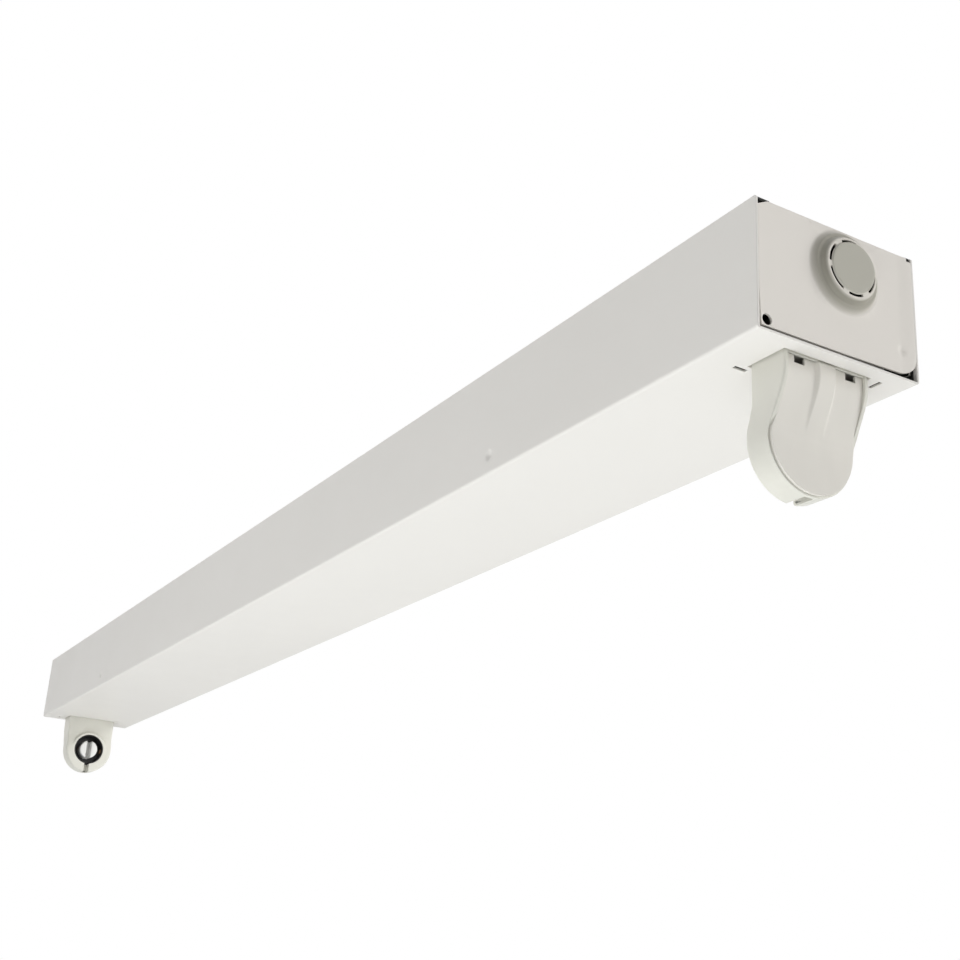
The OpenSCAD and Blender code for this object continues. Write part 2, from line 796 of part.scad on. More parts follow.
module lampholder_body() {
    lining_w = slot_w + 2 * lining_t;
    lining_bottom = -head_r + holder_wall / 2;
    color([0.9, 0.9, 0.86]) difference() {
        union() {
            difference() {
                union() {
                    holder_block(head_r, foot_top, 0, back_t);
                    // Cheeks beside the back cover, and the closed foot above the sheet
                    intersection() {
                        holder_block(head_r, foot_top, 0, 0);
                        union() {
                            for (side = [-1, 1])
                                translate([-2 * foot_depth, side > 0 ? cheek_in : -head_r, slope_start])
                                    cube([2 * foot_depth, holder_wall, foot_top]);
                            translate([-2 * foot_depth, -head_r, back_top + back_gap])
                                cube([2 * foot_depth, holder_w, foot_top]);
                        }
                    }
                    // Flange that rests on the sheet
                    translate([flange_back, -flange_half, sheet_in])
                        cube([flange_front - flange_back, 2 * flange_half, foot_flange_t]);
                }
                // Hollow that the back cover closes
                holder_block(cheek_in, back_top + back_gap, holder_wall, -over);
                // Hollow of the foot
                holder_block(cheek_in, foot_top - holder_wall, holder_wall, holder_wall);
            }
            // Collar that keeps the face level round the black ring, where the front leans back
            disc_x(-collar_depth, 0, ring_seat_r + collar_w);
            // Walls beside and behind the pins' way in
            translate([-groove_depth - lining_t, -lining_w / 2, lining_bottom])
                cube([groove_depth + lining_t - holder_wall / 2, lining_w,
                      -ring_seat_r - lining_bottom]);
        }
        // Seat of the black ring, open at the back
        disc_x(-collar_depth - over, over, ring_seat_r);
        pin_way_in();
        // Holes for the lamp wires
        for (side = [-1, 1])
            translate([-contact_x, side * contact_y, foot_top - holder_wall - over])
                cylinder(h = holder_wall + 2 * over, r = bore_r);
    }
}

// Back cover in X and Z: straight at the head, then sloping back to the given depth at the foot
module back_layer(foot) {
    polygon([
        [-head_depth, -2 * head_r],
        [-head_depth, slope_start],
        [-foot, neck_top],
        [-foot, back_top],
        [-foot + back_t, back_top],
        [-foot + back_t, neck_top],
        [-head_depth + back_t, slope_start],
        [-head_depth + back_t, -2 * head_r]
    ]);
}

// Land between the pockets, in X and Z: fills the pockets' depth out to the holder's full depth
module back_land() {
    pocket_floor = -foot_depth + pocket_depth + back_t / 2;
    polygon([
        [-head_depth + back_t / 2, slope_start],
        [-head_depth, slope_start],
        [-foot_depth, neck_top],
        [-foot_depth, back_top],
        [pocket_floor, back_top],
        [pocket_floor, neck_top]
    ]);
}

module lampholder_cover() {
    color([0.88, 0.88, 0.85]) {
        difference() {
            intersection() {
                along_y(4 * head_r) back_layer(foot_depth - pocket_depth);
                along_x(4 * foot_depth) union() {
                    intersection() {
                        head_outline(head_r - back_rim, slope_start);
                        translate([-head_r, -head_r]) square([2 * head_r, head_r + slope_start - back_gap]);
                    }
                    translate([-cheek_in + back_gap, 0]) square([2 * (cheek_in - back_gap), back_top]);
                }
            }
            for (side = [-1, 1])
                translate([-2 * foot_depth, side * window_y - window_w / 2, back_top - window_h])
                    cube([2 * foot_depth, window_w, window_h + over]);
        }
        along_y(land_w) back_land();
    }
}

module contact_carrier() {
    window_l = contact_w + 2 * contact_gap;
    color([0.05, 0.05, 0.05]) difference() {
        disc_x(-carrier_back, -hub_recess, carrier_r);
        disc_x(-groove_depth, over, groove_r);
        disc_x(-carrier_back - over, over, hub_r + running_gap);
        translate([-groove_depth, -slot_w / 2, -carrier_r - over])
            cube([groove_depth + over, slot_w, carrier_r + over]);
        translate([-contact_x - window_l / 2, -carrier_r - over, -contact_window_half])
            cube([window_l, 2 * (carrier_r + over), 2 * contact_window_half]);
    }
}

module rotor() {
    color([0.95, 0.95, 0.93]) difference() {
        union() {
            disc_x(-rotor_back, -hub_recess, hub_r);
            disc_x(-rotor_back, -rotor_back + rotor_flange_t, hub_r + rotor_flange_over);
        }
        translate([-groove_depth, -slot_w / 2, -2 * hub_r]) cube([groove_depth + over, slot_w, 4 * hub_r]);
    }
}

// Contact spring on one side: dips into the groove at the height of the tube's axis
module contact(side) {
    steps = 12;
    bow = [
        for (i = [0:steps])
            let (z = -contact_reach + 2 * contact_reach * i / steps)
            [side * (contact_dip + (contact_y - contact_dip) * (1 - cos(180 * z / contact_reach)) / 2), z]
    ];
    color([0.75, 0.55, 0.3]) translate([-contact_x, 0, 0])
        along_x(contact_w) strip(concat(bow, [[side * contact_y, contact_top]]), contact_t);
}

// Ballast

module ballast_base() {
    post_x = ballast_l / 2 - post_inset_x;
    post_y = ballast_w / 2 - post_inset_y;
    color([0.8, 0.8, 0.8]) difference() {
        union() {
            linear_extrude(base_t) round_rect(ballast_l + 2 * lug_l, ballast_w, 2);
            for (sx = [-1, 1])
                for (sy = [-1, 1])
                    translate([sx * post_x, sy * post_y, 0]) cylinder(h = board_z, d = post_d);
        }
        for (side = [-1, 1])
            translate([side * lug_x, 0, -over])
                linear_extrude(base_t + 2 * over)
                    stadium(3 * ballast_screw_r, 2 * (ballast_screw_r + screw_gap));
    }
}

// Terminal window in the end of the ballast's lid, for a number of wires
module terminal_window(side, wires) {
    w = wires * wire_pitch + 2 * (terminal_rim + window_gap);
    translate([side * (ballast_l - lid_t) / 2, 0, terminal_z + terminal_h / 2])
        cube([lid_t + 2 * over, w, terminal_h + 2 * window_gap], center = true);
}

module ballast_lid() {
    color([0.78, 0.79, 0.8]) difference() {
        translate([0, 0, base_t]) linear_extrude(ballast_h - base_t) round_rect(ballast_l, ballast_w, 1);
        translate([0, 0, base_t - over]) linear_extrude(ballast_h - base_t - lid_t + over)
            square([ballast_l - 2 * lid_t, ballast_w - 2 * lid_t], center = true);
        terminal_window(1, 2);
        terminal_window(-1, 4);
    }
}

module ballast_board() {
    color([0.75, 0.6, 0.3]) translate([0, 0, board_z]) linear_extrude(board_t)
        square([ballast_l - 2 * lid_t - 2 * board_margin, ballast_w - 2 * lid_t - 2 * board_margin],
               center = true);
}

module ballast_choke_core() {
    color([0.2, 0.2, 0.22]) translate([choke_x, 0, terminal_z]) difference() {
        translate([-core_w / 2, -core_d / 2, 0]) cube([core_w, core_d, core_h]);
        for (side = [-1, 1])
            translate([side * (core_leg + core_window) / 2 - core_window / 2, -core_d, core_yoke])
                cube([core_window, 2 * core_d, core_h - 2 * core_yoke]);
    }
}

module ballast_choke_winding() {
    outer_w = core_leg + 2 * core_window - 2 * winding_gap;
    color([0.7, 0.35, 0.2]) translate([choke_x, 0, terminal_z + core_yoke + winding_gap])
        linear_extrude(core_h - 2 * core_yoke - 2 * winding_gap) difference() {
            round_rect(outer_w, core_d + 2 * winding_out, winding_corner_r);
            square([core_leg + 2 * winding_gap, core_d + 2 * winding_gap], center = true);
        }
}

// An electrolytic capacitor lying on the board and a film capacitor standing on it
module ballast_capacitors() {
    color([0.15, 0.2, 0.35]) translate([capacitor_x, 0, terminal_z + capacitor_d / 2])
        disc_x(-capacitor_l / 2, capacitor_l / 2, capacitor_d / 2);
    color([0.6, 0.15, 0.12]) translate([film_x - film_t / 2, -film_w / 2, terminal_z])
        cube([film_t, film_w, film_h]);
}

// Wire terminal of the ballast, with its outer face at x = 0 and its wires coming from +X
module wire_terminal(wires) {
    w = wires * wire_pitch + 2 * terminal_rim;
    color([0.92, 0.92, 0.9]) difference() {
        translate([-terminal_l, -w / 2, terminal_z]) cube([terminal_l, w, terminal_h]);
        for (i = [0:wires - 1])
            translate([0, (i - (wires - 1) / 2) * wire_pitch, terminal_z + terminal_h / 2])
                disc_x(-bore_depth, over, bore_r);
    }
}

module ballast_screws() {
    color([0.75, 0.75, 0.72])
        for (side = [-1, 1])
            translate([side * lug_x, 0, 0]) {
                translate([0, 0, base_t]) cylinder(h = screw_head_t, r = screw_head_r);
                translate([0, 0, -sheet_t - screw_tail])
                    cylinder(h = base_t + sheet_t + screw_tail, r = ballast_screw_r);
            }
}

// Mains terminal block

module at_poles() {
    for (pole = [-1:1])
        translate([0, pole * pole_pitch, block_h / 2]) children();
}

module terminal_housing() {
    color([0.93, 0.93, 0.9]) difference() {
        translate([-block_l / 2, -block_w / 2, 0]) cube([block_l, block_w, block_h]);
        at_poles() {
            disc_x(-block_l, block_l, clamp_bore_r);
            cube([clamp_l + 2 * clamp_gap, clamp_w + 2 * clamp_gap, clamp_h + 2 * clamp_gap], center = true);
            for (side = [-1, 1])
                translate([side * clamp_screw_x, 0, 0]) cylinder(h = block_h, d = clamp_screw_d + 2 * wire_gap);
        }
        for (side = [-1, 1])
            translate([0, side * pole_pitch / 2, -over]) {
                cylinder(h = block_h + 2 * over, r = block_screw_r + screw_gap);
                translate([0, 0, block_h + over - screw_head_t])
                    cylinder(h = block_h, r = block_head_r + screw_gap);
            }
    }
}

module terminal_clamps() {
    color([0.8, 0.68, 0.35]) at_poles() difference() {
        cube([clamp_l, clamp_w, clamp_h], center = true);
        disc_x(-clamp_l, clamp_l, clamp_bore_r);
        for (side = [-1, 1])
            translate([side * clamp_screw_x, 0, 0]) cylinder(h = block_h, d = clamp_screw_d);
    }
}

module terminal_clamp_screws() {
    screw_l = block_h / 2 - clamp_bore_r - clamp_screw_drop;
    color([0.7, 0.7, 0.68]) at_poles()
        for (side = [-1, 1])
            translate([side * clamp_screw_x, 0, clamp_bore_r])
                difference() {
                    cylinder(h = screw_l, d = clamp_screw_d - clamp_gap);
                    translate([-clamp_screw_d, -screw_slot_w / 2, screw_l - screw_slot_d])
                        cube([2 * clamp_screw_d, screw_slot_w, screw_slot_d + over]);
                }
}

module terminal_fixing_screws() {
    head_z = block_h - screw_head_t;
    color([0.7, 0.7, 0.68])
        for (side = [-1, 1])
            translate([0, side * pole_pitch / 2, 0]) {
                translate([0, 0, head_z]) cylinder(h = screw_head_t - fixing_head_drop, r = block_head_r);
                translate([0, 0, -sheet_t - screw_tail])
                    cylinder(h = head_z + sheet_t + screw_tail, r = block_screw_r);
            }
}

// Earth terminal, hanging from the pan's underside

module at_stud(drop) {
    translate([stud_x, stud_y, -sheet_t - drop]) rotate([180, 0, 0]) children();
}

module earth_stud() {
    color([0.75, 0.75, 0.72]) at_stud(0) cylinder(h = stud_l, d = stud_d);
}

module earth_lug() {
    color([0.8, 0.8, 0.78]) at_stud(0) {
        difference() {
            union() {
                cylinder(h = lug_t, r = lug_r);
                translate([0, -lug_barrel_r, 0]) cube([lug_barrel_x + lug_neck, 2 * lug_barrel_r, lug_t]);
            }
            translate([0, 0, -over]) cylinder(h = lug_t + 2 * over, r = stud_d / 2 + screw_gap);
            translate([0, 0, lug_barrel_r])
                disc_x(lug_barrel_x, lug_barrel_x + lug_barrel_l, lug_barrel_r - lug_wall / 2);
        }
        translate([0, 0, lug_barrel_r]) difference() {
            disc_x(lug_barrel_x, lug_barrel_x + lug_barrel_l, lug_barrel_r);
            disc_x(lug_barrel_x - over, lug_barrel_x + lug_barrel_l + over, lug_barrel_r - lug_wall);
        }
    }
}

module earth_washer() {
    color([0.7, 0.7, 0.7]) at_stud(lug_t) difference() {
        cylinder(h = washer_t, r = lug_r);
        translate([0, 0, -over]) cylinder(h = washer_t + 2 * over, r = stud_d / 2 + screw_gap);
    }
}

module earth_nut() {
    color([0.75, 0.75, 0.72]) at_stud(lug_t + washer_t) difference() {
        cylinder(h = nut_t, d = nut_af / cos(30), $fn = 6);
        translate([0, 0, -over]) cylinder(h = nut_t + 2 * over, r = stud_d / 2 + screw_gap / 2);
    }
}

// Wires

module mains_wire(pole_y, ballast_y) {
    straight = 8;
    wire([
        [block_x - wire_in, pole_y, block_wire_z],
        [block_x - block_l / 2 - straight, pole_y, block_wire_z],
        [ballast_in_x + straight, ballast_y, ballast_wire_z],
        [ballast_in_x - bore_depth, ballast_y, ballast_wire_z]
    ]);
}

module earth_wire() {
    barrel_start = stud_x + lug_barrel_x;
    straight = 3;
    color([0.35, 0.6, 0.2]) wire([
        [block_x - wire_in, pole_pitch, block_wire_z],
        [block_x - block_l / 2 - straight, pole_pitch, block_wire_z],
        [barrel_start + lug_barrel_l + straight, stud_y, earth_wire_z],
        [barrel_start + wire_in, stud_y, earth_wire_z]
    ]);
}

// Wire from the ballast's output to a lampholder: leaves the ballast at y0, turns into the lane
// at turn_x, runs to the end that side names, and goes down into the foot at the y of the last side
module lamp_wire(y0, turn_x, lane_z, side, foot_side) {
    short_crossing = 10;
    long_crossing = 17;
    lane_slant = 2;
    foot_drop = 6;
    leave = side * (holder_wire_x - (foot_side > 0 ? short_crossing : long_crossing));
    wire([
        [ballast_out_x + bore_depth, y0, ballast_wire_z],
        [turn_x, y0, ballast_wire_z],
        [turn_x - lane_slant, wire_lane, lane_z],
        [leave, wire_lane, lane_z],
        [side * holder_wire_x, foot_side * contact_y, lane_z - foot_drop],
        [side * holder_wire_x, foot_side * contact_y, holder_wire_end]
    ]);
}

// Where each lamp wire turns from the ballast's output towards the lane
function turn_at(i) =
    let (first = 8, step = 7)
    ballast_out_x - first - i * step;

// Clips under the pan that hold the wires in the lane
module wire_clips() {
    first = ballast_in_x + clip_lead;
    last = end_x - clip_inset;
    places = [-last, first, (first + last) / 2, last];
    color([0.95, 0.95, 0.93])
        for (x = places)
            translate([x, wire_lane, 0]) difference() {
                translate([-clip_l / 2, -clip_w / 2, -sheet_t - clip_h]) cube([clip_l, clip_w, clip_h]);
                for (z = [upper_lane, lower_lane])
                    translate([0, 0, z]) disc_x(-clip_l, clip_l, bore_r);
            }
}

cover_channel();
mounting_pan();
cable_grommet();
at_near() lampholder_body();  // near_lampholder_body
at_near() lampholder_cover();  // near_lampholder_cover
at_near() contact_carrier();  // near_contact_carrier
at_near() rotor();  // near_rotor
at_near() contact(1);  // near_contact_left
at_near() contact(-1);  // near_contact_right
at_far() lampholder_body();  // far_lampholder_body
at_far() lampholder_cover();  // far_lampholder_cover
at_far() contact_carrier();  // far_contact_carrier
at_far() rotor();  // far_rotor
at_far() contact(1);  // far_contact_left
at_far() contact(-1);  // far_contact_right
under_pan(ballast_x) ballast_base();
under_pan(ballast_x) ballast_lid();
under_pan(ballast_x) ballast_board();
under_pan(ballast_x) ballast_choke_core();
under_pan(ballast_x) ballast_choke_winding();
under_pan(ballast_x) ballast_capacitors();
under_pan(ballast_in_x) wire_terminal(2);  // ballast_input_terminal
under_pan(ballast_out_x) rotate([0, 0, 180]) wire_terminal(4);  // ballast_output_terminal
under_pan(ballast_x) ballast_screws();
under_pan(block_x) terminal_housing();
under_pan(block_x) terminal_clamps();
under_pan(block_x) terminal_clamp_screws();
under_pan(block_x) terminal_fixing_screws();
earth_stud();
earth_lug();
earth_washer();
earth_nut();
earth_wire();
color([0.45, 0.28, 0.15]) mains_wire(-pole_pitch, -wire_pitch / 2);  // live_wire
color([0.15, 0.3, 0.65]) mains_wire(0, wire_pitch / 2);  // neutral_wire
color([0.9, 0.9, 0.88]) lamp_wire(1.5 * wire_pitch, turn_at(0), upper_lane, 1, 1);  // near_lamp_wire_a
color([0.75, 0.15, 0.12]) lamp_wire(0.5 * wire_pitch, turn_at(1), lower_lane, 1, -1);  // near_lamp_wire_b
color([0.9, 0.9, 0.88]) lamp_wire(-0.5 * wire_pitch, turn_at(3), upper_lane, -1, 1);  // far_lamp_wire_a
color([0.15, 0.3, 0.6]) lamp_wire(-1.5 * wire_pitch, turn_at(4), lower_lane, -1, -1);  // far_lamp_wire_b
wire_clips();
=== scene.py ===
"""Single-lamp fluorescent batten seen from below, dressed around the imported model.

Lengths are in millimetres, as in the part's source, and become metres where a mesh is made.
X runs along the box with the near end at +X, Z is up, and the ceiling face is z = 0.
A sheet is a grid of two parameters, some cells of which are left out, folded in space and then
given its thickness. A moulding is a profile carried along a path.
"""
import json
import math

import bmesh
import bpy
import numpy as np
from mathutils import Matrix, Vector

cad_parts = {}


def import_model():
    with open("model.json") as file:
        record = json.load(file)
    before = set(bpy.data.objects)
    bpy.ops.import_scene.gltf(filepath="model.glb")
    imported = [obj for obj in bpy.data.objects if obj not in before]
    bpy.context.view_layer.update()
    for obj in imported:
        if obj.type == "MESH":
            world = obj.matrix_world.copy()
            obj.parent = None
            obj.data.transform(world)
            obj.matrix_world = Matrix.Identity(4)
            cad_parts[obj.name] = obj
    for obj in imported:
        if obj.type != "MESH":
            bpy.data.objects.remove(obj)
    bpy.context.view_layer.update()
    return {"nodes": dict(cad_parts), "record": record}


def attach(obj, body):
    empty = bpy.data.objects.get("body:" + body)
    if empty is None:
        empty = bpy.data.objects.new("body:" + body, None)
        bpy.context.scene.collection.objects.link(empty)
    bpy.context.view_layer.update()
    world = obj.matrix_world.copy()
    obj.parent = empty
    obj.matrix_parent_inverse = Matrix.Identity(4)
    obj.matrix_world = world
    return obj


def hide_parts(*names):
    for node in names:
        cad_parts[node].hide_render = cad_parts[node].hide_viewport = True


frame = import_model()
MM = 0.001
FIXTURE = "fixture"

# Box and pan. A bend's radius is the outer one, and HALF is half of a width
BOX_L, BOX_W, BOX_H = 628.0, 50.0, 34.0
SHEET = 0.6
END_X = BOX_L / 2
COVER_BEND = 0.9
PAN_BEND = 0.7
PAN_HALF = 24.3
FLANGE_H = 31.0
PLATE_X = END_X - 0.3
PLATE_HALF = 24.25
PLATE_H = 32.6
FLANGE_END = PLATE_X - PAN_BEND - 1.0
DIMPLE_X = END_X - 116.0
DIMPLE_Z = 28.0
DIMPLE_R = 1.6
DIMPLE_DEPTH = 0.5
# A PATCH is half the side of the square of grid in which a round feature is drawn
DIMPLE_PATCH = 3.2
# Chamfer on the upper corners of the cover's sides, and how far in from each end the inner face keeps the
# white coat rather than the near-black painted shade
SNIP = 0.4
PAINTED_IN = 1.2
ENTRY_X = 70.0
BEAD_Y, BEAD_HALF, BEAD_DEPTH = 15.5, 2.0, 0.6
BEAD_END = END_X - 30.0

# End plates. The boss's Z is its depth below the ceiling face
BOSS_Y, BOSS_Z = 2.2, 11.3
BOSS_R = 10.5
BOSS_H = 2.7
BOSS_RIM_H = 1.2
BOSS_PATCH = 11.7
KNOCKOUT_R = 6.6
KNOCKOUT_SLIT = 0.6
KNOCKOUT_TABS = 6
TAB_ANGLE = 16.0
NOTCH_W, NOTCH_H = 3.8, 2.0
SMALL_RELIEF = 1.3
# How far the top's corners stay behind the plate's face above the notches
LIP_BACK = 0.25
# The curved cut of the lower +Y corner, and the round of the lower -Y one
CUT_W, CUT_H = 5.6, 4.2
CORNER_R = 1.7
# How much higher the lower edge is at +Y than at -Y
GAP_RISE = 0.85
HOLE_IN, HOLE_UP = 2.25, 2.1
HOLE_R, HOLE_PATCH = 1.4, 1.65
# The shallow round dent near the lower +Y corner
MARK_Y, MARK_UP = 20.0, 6.7
MARK_R, MARK_PATCH, MARK_DEPTH = 1.9, 3.0, 0.35

# Lampholders. Depths are behind the face that the tube's cap meets
FACE_X = END_X - 18.5
AXIS_Z = -52.0
HEAD_R = 13.0
WALL = 1.2
SLIT_W = 2.75
GROOVE_R = 7.725
RING_R = 8.275
RING_HOLE_R = 8.325
HUB_R = 5.0
GROOVE_DEPTH = 6.6
RING_BACK = 7.15
ROTOR_BACK = 7.6
HEAD_DEPTH = 8.4
FOOT_DEPTH = 14.0
NECK_LEAN = 2.0
SLOPE_START = 1.0
LEAN_H = 7.0
SLOPE_H = 11.5
COLLAR_R = 9.525
CHEEK_R = 0.8
SHEET_Z = 18.6
FOOT_TOP = 28.0
BACK_T = 0.7
BACK_TOP = 17.85
BACK_R = 12.5
BACK_HALF = 11.74
# Gaps of the cover's cut-out beside the foot, and in front of it and behind it
HOLDER_GAP = 0.45
FOOT_PLAY = 0.3


# Meshes

# A filler line closer than this to a fixed one is left out
LINE_GAP = 0.12
# Points closer than this become one
MERGE = 0.002


def ramp(x, a, b):
    """Rises smoothly from 0 at a to 1 at b: t * t * (3 - 2 t), with t the clipped share of the way."""
    t = np.clip((np.asarray(x, float) - a) / (b - a), 0, 1)
    return t * t * (3 - 2 * t)


def grid_quads(rows, columns, wrap_rows=False, wrap_columns=False):
    """Corner numbers of the cells between rows and columns of points, counted row by row."""
    i = np.arange(rows if wrap_rows else rows - 1)
    j = np.arange(columns if wrap_columns else columns - 1)
    i, j = np.meshgrid(i, j, indexing="ij")
    i2 = (i + 1) % rows
    j2 = (j + 1) % columns
    corners = [i * columns + j, i2 * columns + j, i2 * columns + j2, i * columns + j2]
    return np.stack(corners, axis=-1)


def add_object(name, data):
    """A new object with the given data, in the scene."""
    obj = bpy.data.objects.new(name, data)
    bpy.context.scene.collection.objects.link(obj)
    return obj


def new_piece(name, parts):
    """One object from a list of (points in mm, faces): the points are joined end to end."""
    points, faces, start = [], [], 0
    for part_points, part_faces in parts:
        points.append(np.asarray(part_points).reshape(-1, 3))
        faces.extend([[start + k for k in face] for face in part_faces])
        start += len(points[-1])
    mesh = bpy.data.meshes.new(name)
    mesh.from_pydata((np.concatenate(points) * MM).tolist(), [], faces)
    work = bmesh.new()
    work.from_mesh(mesh)
    bmesh.ops.remove_doubles(work, verts=work.verts, dist=MERGE * MM)
    bmesh.ops.dissolve_degenerate(work, edges=work.edges, dist=MERGE * MM)
    loose = [v for v in work.verts if not v.link_faces]
    bmesh.ops.delete(work, geom=loose, context="VERTS")
    work.to_mesh(mesh)
    work.free()
    return add_object(name, mesh)


def face_outwards(obj):
    """Recalculates the normals of a closed piece so that they point out of it."""
    work = bmesh.new()
    work.from_mesh(obj.data)
    bmesh.ops.recalc_face_normals(work, faces=work.faces)
    work.to_mesh(obj.data)
    work.free()


def finish_piece(obj, materials, thickness=None, edge=None, smooth_angle=50):
    """Gives a sheet its thickness and a piece its small round edges, and makes both final.

    With two materials, the second one goes on the sheet's inner face, and the cut edges take the
    first.
    """
    for material in materials:
        obj.data.materials.append(material)
    if thickness:
        wall = obj.modifiers.new("Thickness", "SOLIDIFY")
        wall.thickness = thickness * MM
        wall.offset = -1
        wall.use_even_offset = False
        wall.material_offset = len(materials) - 1
        wall.material_offset_rim = 0
    if edge:
        bevel = obj.modifiers.new("Edges", "BEVEL")
        bevel.width = edge * MM
        bevel.segments = 2
        bevel.limit_method = "ANGLE"
        bevel.angle_limit = math.radians(42)
    normals = obj.modifiers.new("Shading", "WEIGHTED_NORMAL")
    normals.keep_sharp = True
    obj.data.polygons.foreach_set("use_smooth", [True] * len(obj.data.polygons))
    obj.data.set_sharp_from_angle(angle=math.radians(smooth_angle))
    evaluated = obj.evaluated_get(bpy.context.evaluated_depsgraph_get())
    mesh = bpy.data.meshes.new_from_object(evaluated)
    obj.modifiers.clear()
    obj.data = mesh


def stations(fixed, filler):
    """Grid lines: all the fixed ones, and those of the filler that stay clear of them."""
    fixed = np.unique(np.round(np.hstack(fixed), 3))
    filler = np.unique(np.round(np.hstack(filler), 3))
    clear = np.abs(filler[:, None] - fixed[None, :]).min(axis=1) > LINE_GAP
    return np.sort(np.concatenate([fixed, filler[clear]]))


def add_round(fixed, filler, centre, half, radii, steps):
    """Adds a round feature's lines: both sides of the centre at each radius, even ones between."""
    radii = np.asarray(radii, float)
    fixed.append(np.concatenate([centre - radii, centre + radii, [centre - half, centre + half]]))
    filler.append(centre + half * np.linspace(-1, 1, 2 * steps + 1))


def square_ring(u, v, centre, straight=0.0):
    """Greater of the two offsets from a centre, or from the nearer end of a straight part along u."""
    du = np.maximum(np.abs(u - centre[0]) - straight / 2, 0)
    return np.maximum(du, np.abs(v - centre[1]))


def round_off(u, v, centre, half, radius, straight=0.0):
    """Turns the squares of grid lines round a centre into circles.

    A point on the square of half-size s goes to the circle of radius s, at an angle that grows
    evenly along each side. The turn is full up to the radius and fades out at the patch's edge.
    With a straight stretch, the two half patches beyond its ends turn about those ends.
    """
    du, dv = u - centre[0], v - centre[1]
    p = np.maximum(np.abs(du) - straight / 2, 0)
    q = np.abs(dv)
    s = np.maximum(p, q)
    safe = np.maximum(s, 1e-9)
    angle = np.pi / 4 * np.minimum(p, q) / safe
    long_part, short_part = s * np.cos(angle), s * np.sin(angle)
    wide = p >= q
    round_p = np.where(wide, long_part, short_part)
    round_q = np.where(wide, short_part, long_part)
    weight = 1 - ramp(s, radius, half)
    moved_p = p + weight * (round_p - p)
    moved_q = q + weight * (round_q - q)
    along = np.where(np.abs(du) > straight / 2, np.sign(du) * (straight / 2 + moved_p), du)
    return centre[0] + along, centre[1] + np.sign(dv) * moved_q


def fold(s, half, bend):
    """Channel section from the middle of its flat face: across, then height above that face.

    Flat up to the bend, a quarter circle of the bend's radius, then straight up.
    The last two results are the outward normal across and in height.
    """
    flat = half - bend
    turn = np.clip((np.abs(s) - flat) / bend, 0, np.pi / 2)
    beyond = np.maximum(np.abs(s) - flat - bend * np.pi / 2, 0)
    across = np.minimum(np.abs(s), flat) + bend * np.sin(turn)
    height = bend * (1 - np.cos(turn)) + beyond
    side = np.sign(s)
    return side * across, height, side * np.sin(turn), -np.cos(turn)


def folded_side(half, bend, height):
    """Half the developed width of a channel whose sides have the given height."""
    return half - bend + bend * np.pi / 2 + height - bend


def sheet_cells(points, keep, flip=False):
    """The cells of a grid of points that are kept, as faces."""
    quads = grid_quads(*points.shape[:2])[keep]
    if flip:
        quads = quads[:, ::-1]
    return points.reshape(-1, 3), quads.tolist()


def cell_middles(rows, columns):
    """Two grids with the middle of every cell between the given lines."""
    halfway = [(lines[1:] + lines[:-1]) / 2 for lines in (rows, columns)]
    return np.meshgrid(*halfway, indexing="ij")


def swept(points):
    """A closed section carried along a path and capped at both ends, from points[path, section]."""
    steps, count = points.shape[:2]
    faces = grid_quads(steps, count, wrap_columns=True).reshape(-1, 4).tolist()
    faces.append(list(range(count)))
    faces.append([steps * count - 1 - k for k in range(count)])
    return points, faces


# Materials

def node_material(name, colour, roughness, metallic=0.0):
    """A Principled material with its fixed values on its own sockets."""
    material = bpy.data.materials.new(name)
    material.use_nodes = True
    nodes = material.node_tree.nodes
    shader = nodes["Principled BSDF"]
    shader.inputs["Base Color"].default_value = (*colour, 1)
    shader.inputs["Roughness"].default_value = roughness
    shader.inputs["Metallic"].default_value = metallic
    place = nodes.new("ShaderNodeTexCoord")
    return material, nodes, material.node_tree.links, shader, place


def shade(colour, share):
    """A colour with each of its parts times a share."""
    return tuple(part * share for part in colour)


def math_node(nodes, links, operation, *values):
    """The result of a Math node that takes the given sockets."""
    node = nodes.new("ShaderNodeMath")
    node.operation = operation
    for value, socket in zip(values, node.inputs):
        links.new(value, socket)
    return node.outputs[0]


def noise(nodes, links, place, scale, detail=3.0, stretch=(1, 1, 1)):
    """Noise on Object coordinates; the scale is in cycles per metre and may be stretched."""
    mapping = nodes.new("ShaderNodeMapping")
    mapping.inputs["Scale"].default_value = stretch
    links.new(place.outputs["Object"], mapping.inputs["Vector"])
    texture = nodes.new("ShaderNodeTexNoise")
    texture.inputs["Scale"].default_value = scale
    texture.inputs["Detail"].default_value = detail
    links.new(mapping.outputs["Vector"], texture.inputs["Vector"])
    return texture.outputs["Fac"]


def colour_between(nodes, links, factor, low, high, colours, shader):
    """Base colour that goes from one colour to another as the factor goes from low to high."""
    blend = nodes.new("ShaderNodeValToRGB")
    blend.color_ramp.elements[0].position = low
    blend.color_ramp.elements[1].position = high
    for element, colour in zip(blend.color_ramp.elements, colours):
        element.color = (*colour, 1)
    links.new(factor, blend.inputs["Fac"])
    links.new(blend.outputs["Color"], shader.inputs["Base Color"])


def value_between(nodes, links, factor, low, high, socket):
    """A socket's number that goes from low to high with a factor of 0.3 to 0.7."""
    span = nodes.new("ShaderNodeMapRange")
    span.inputs["From Min"].default_value = 0.3
    span.inputs["From Max"].default_value = 0.7
    span.inputs["To Min"].default_value = low
    span.inputs["To Max"].default_value = high
    links.new(factor, span.inputs["Value"])
    links.new(span.outputs["Result"], socket)


def bump(nodes, links, factor, height, strength, shader):
    """Surface relief of the given height in metres."""
    relief = nodes.new("ShaderNodeBump")
    relief.inputs["Strength"].default_value = strength
    relief.inputs["Distance"].default_value = height
    links.new(factor, relief.inputs["Height"])
    links.new(relief.outputs["Normal"], shader.inputs["Normal"])


